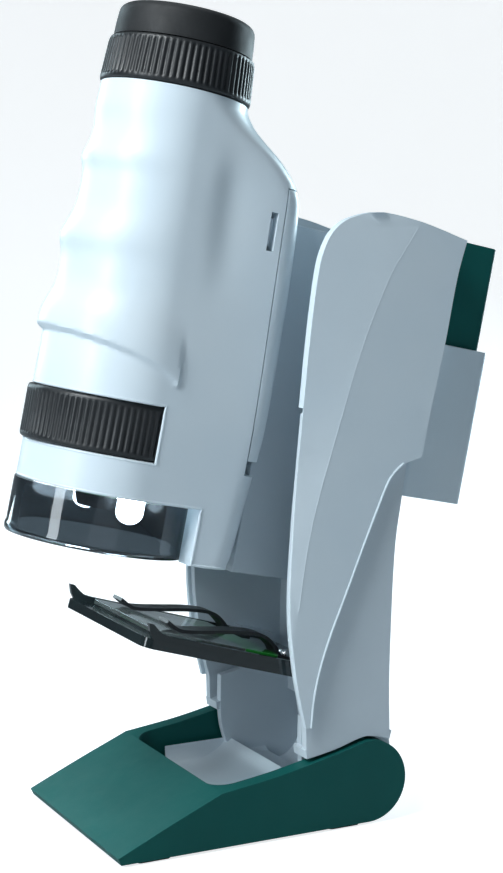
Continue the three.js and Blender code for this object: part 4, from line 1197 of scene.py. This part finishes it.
# ------------------------------------------------------------------ build
make_base()
make_feet()
place(
    make_shell(), "tower_cheeks", LAYOUT, "tower", WHITE, "white_plastic", ["tower_shell"],
    bevel=0.4,
)
place(
    make_column(), "tower_post", LAYOUT, "tower", WHITE_SHADED, "white_plastic",
    ["tower_column"], bevel=0.35,
)
make_stage()
make_clips()
make_tube()
make_cover()
make_button()
make_rings()
make_tip()
make_lamps()
make_storage()
refined("tube_saddle", "saddle", "tower", WHITE_SHADED, "white_plastic", 0.3, 3)
CARRIED = [
    ("hinge_washer_left", "washer_left", STEEL, "steel", 0.08),
    ("hinge_washer_right", "washer_right", STEEL, "steel", 0.08),
    ("tower_screw_1", "screw_1", STEEL, "steel", 0.06),
    ("tower_screw_2", "screw_2", STEEL, "steel", 0.06),
    ("clip_rivet_left", "rivet_left", STEEL, "steel", 0.08),
    ("clip_rivet_right", "rivet_right", STEEL, "steel", 0.08),
    ("eye_lens", "eye_glass", GLASS, "lens_glass", 0.05),
    ("inner_barrel", "barrel", BLACK, "black_plastic", 0.1),
    ("zoom_carriage", "carriage", BLACK, "black_plastic", 0.1),
    ("zoom_lens", "zoom_glass", GLASS, "lens_glass", 0.05),
    ("objective_holder", "objective_tube", BLACK, "black_plastic", 0.08),
    ("objective_lens", "objective_glass", GLASS, "lens_glass", 0.05),
    ("lamp_board", "lamp_circuit", BOARD, "circuit_board", 0.05),
    ("battery_left", "cell_left", CELL, "battery_jacket", 0.08),
    ("battery_right", "cell_right", CELL, "battery_jacket", 0.08),
    ("contact_low", "contact_strip", BRASS, "brass", 0.1),
    ("contact_high_left", "contact_left", BRASS, "brass", 0.1),
    ("contact_high_right", "contact_right", BRASS, "brass", 0.1),
]
for node, name, look, slot_name, width in CARRIED:
    refined(node, name, frame["nodes"][node]["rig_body"], look, slot_name, width)

# ------------------------------------------------------------------ studio
CAMERA_PLACE = Vector((0.3699, -0.1884, 0.1397))
CAMERA_AZIMUTH = 62.86 * DEG
CAMERA_ELEVATION = 7.12 * DEG
CAMERA_LENS = 74.2


def facing(place, back):
    """A matrix at a place with its Z axis along back and its Y axis upright."""
    return Matrix.Translation(place) @ back.to_track_quat("Z", "Y").to_matrix().to_4x4()


def make_camera():
    lens = bpy.data.cameras.new("camera")
    lens.sensor_fit = "VERTICAL"
    lens.sensor_height = 36.0
    lens.lens = CAMERA_LENS
    lens.clip_start = 0.01
    lens.clip_end = 20.0
    camera = bpy.data.objects.new("camera", lens)
    bpy.context.scene.collection.objects.link(camera)
    back = Vector(
        (
            math.sin(CAMERA_AZIMUTH) * math.cos(CAMERA_ELEVATION),
            -math.cos(CAMERA_AZIMUTH) * math.cos(CAMERA_ELEVATION),
            math.sin(CAMERA_ELEVATION),
        )
    )
    camera.matrix_world = facing(CAMERA_PLACE, back)
    bpy.context.scene.camera = camera
    return camera


camera = make_camera()
RIGHT = camera.matrix_world.to_3x3() @ Vector((1, 0, 0))
BACK = camera.matrix_world.to_3x3() @ Vector((0, 0, 1))
UP = Vector((0, 0, 1))
AIM = Vector((0.0, 0.0, 0.095))


def softbox(name, across, up, towards, width, height, power, colour, aim=AIM):
    """An area light placed by camera-right, up and towards-camera distances in metres."""
    lamp = bpy.data.lights.new(name, "AREA")
    lamp.shape = "RECTANGLE"
    lamp.size = width
    lamp.size_y = height
    lamp.energy = power
    lamp.color = colour
    made = bpy.data.objects.new(name, lamp)
    bpy.context.scene.collection.objects.link(made)
    spot = AIM + RIGHT * across + UP * up + BACK * towards
    made.matrix_world = facing(spot, spot - aim)
    return made


UPPER_TUBE = Vector((0.0, -0.03, 0.165))
softbox("key", -0.30, 0.46, 0.30, 0.26, 0.20, 3.6, (0.93, 0.98, 1.0), UPPER_TUBE)
softbox("fill", 0.25, 0.15, 0.9, 0.6, 0.6, 0.5, (0.80, 0.90, 1.0))
softbox("inside", -0.5, 0.16, 0.42, 0.16, 0.34, 1.9, (0.85, 0.94, 1.0))
softbox("rim_left", -0.42, 0.25, -0.45, 0.14, 0.4, 1.3, (0.72, 0.92, 1.0))
softbox("rim_right", 0.55, 0.15, -0.62, 0.2, 0.6, 8.5, (0.72, 0.92, 1.0))
softbox("top", 0.0, 0.8, -0.3, 0.4, 0.3, 1.0, (0.88, 0.96, 1.0))


def make_floor():
    """A pale sweep: flat under the object, curving up behind it."""
    rows = [(2.5, 0.0), (1.0, 0.0), (0.0, 0.0), (-0.6, 0.0)]
    bend = 0.8
    for k in range(1, 13):
        angle = k * math.pi / 24
        rows.append((-0.6 - bend * math.sin(angle), bend - bend * math.cos(angle)))
    rows.append((-1.4, 2.5))
    outward = Vector((BACK.x, BACK.y, 0)).normalized()
    points, faces = [], []
    for along, z in rows:
        for side in (-3.0, 3.0):
            spot = outward * along + RIGHT * side
            points.append((spot.x, spot.y, z))
    for k in range(len(rows) - 1):
        faces.append((2 * k, 2 * k + 1, 2 * k + 3, 2 * k + 2))
    mesh = bpy.data.meshes.new("floor")
    mesh.from_pydata(points, [], faces)
    for face in mesh.polygons:
        face.use_smooth = True
    floor = bpy.data.objects.new("floor", mesh)
    bpy.context.scene.collection.objects.link(floor)
    look = Look("floor")
    rays = look.node("ShaderNodeLightPath")
    cloud = look.spread(look.noise(30.0), 0.0, 1.0)
    look.set(
        Base_Color=look.mix(cloud, (0.5, 0.52, 0.54), (0.48, 0.5, 0.52)),
        Roughness=look.spread(look.noise(200.0), 0.7, 0.85),
        Specular_IOR_Level=0.0,
        Emission_Color=(0.97, 0.99, 1.0),
        Emission_Strength=look.math("MULTIPLY", rays.outputs["Is Camera Ray"], 0.8),
    )
    floor.data.materials.append(look.material)


make_floor()

world = bpy.data.worlds.new("studio")
bpy.context.scene.world = world
world.use_nodes = True
world.node_tree.nodes["Background"].inputs["Color"].default_value = (0.62, 0.76, 0.86, 1)
world.node_tree.nodes["Background"].inputs["Strength"].default_value = 0.12
bpy.context.scene.view_settings.view_transform = "Standard"
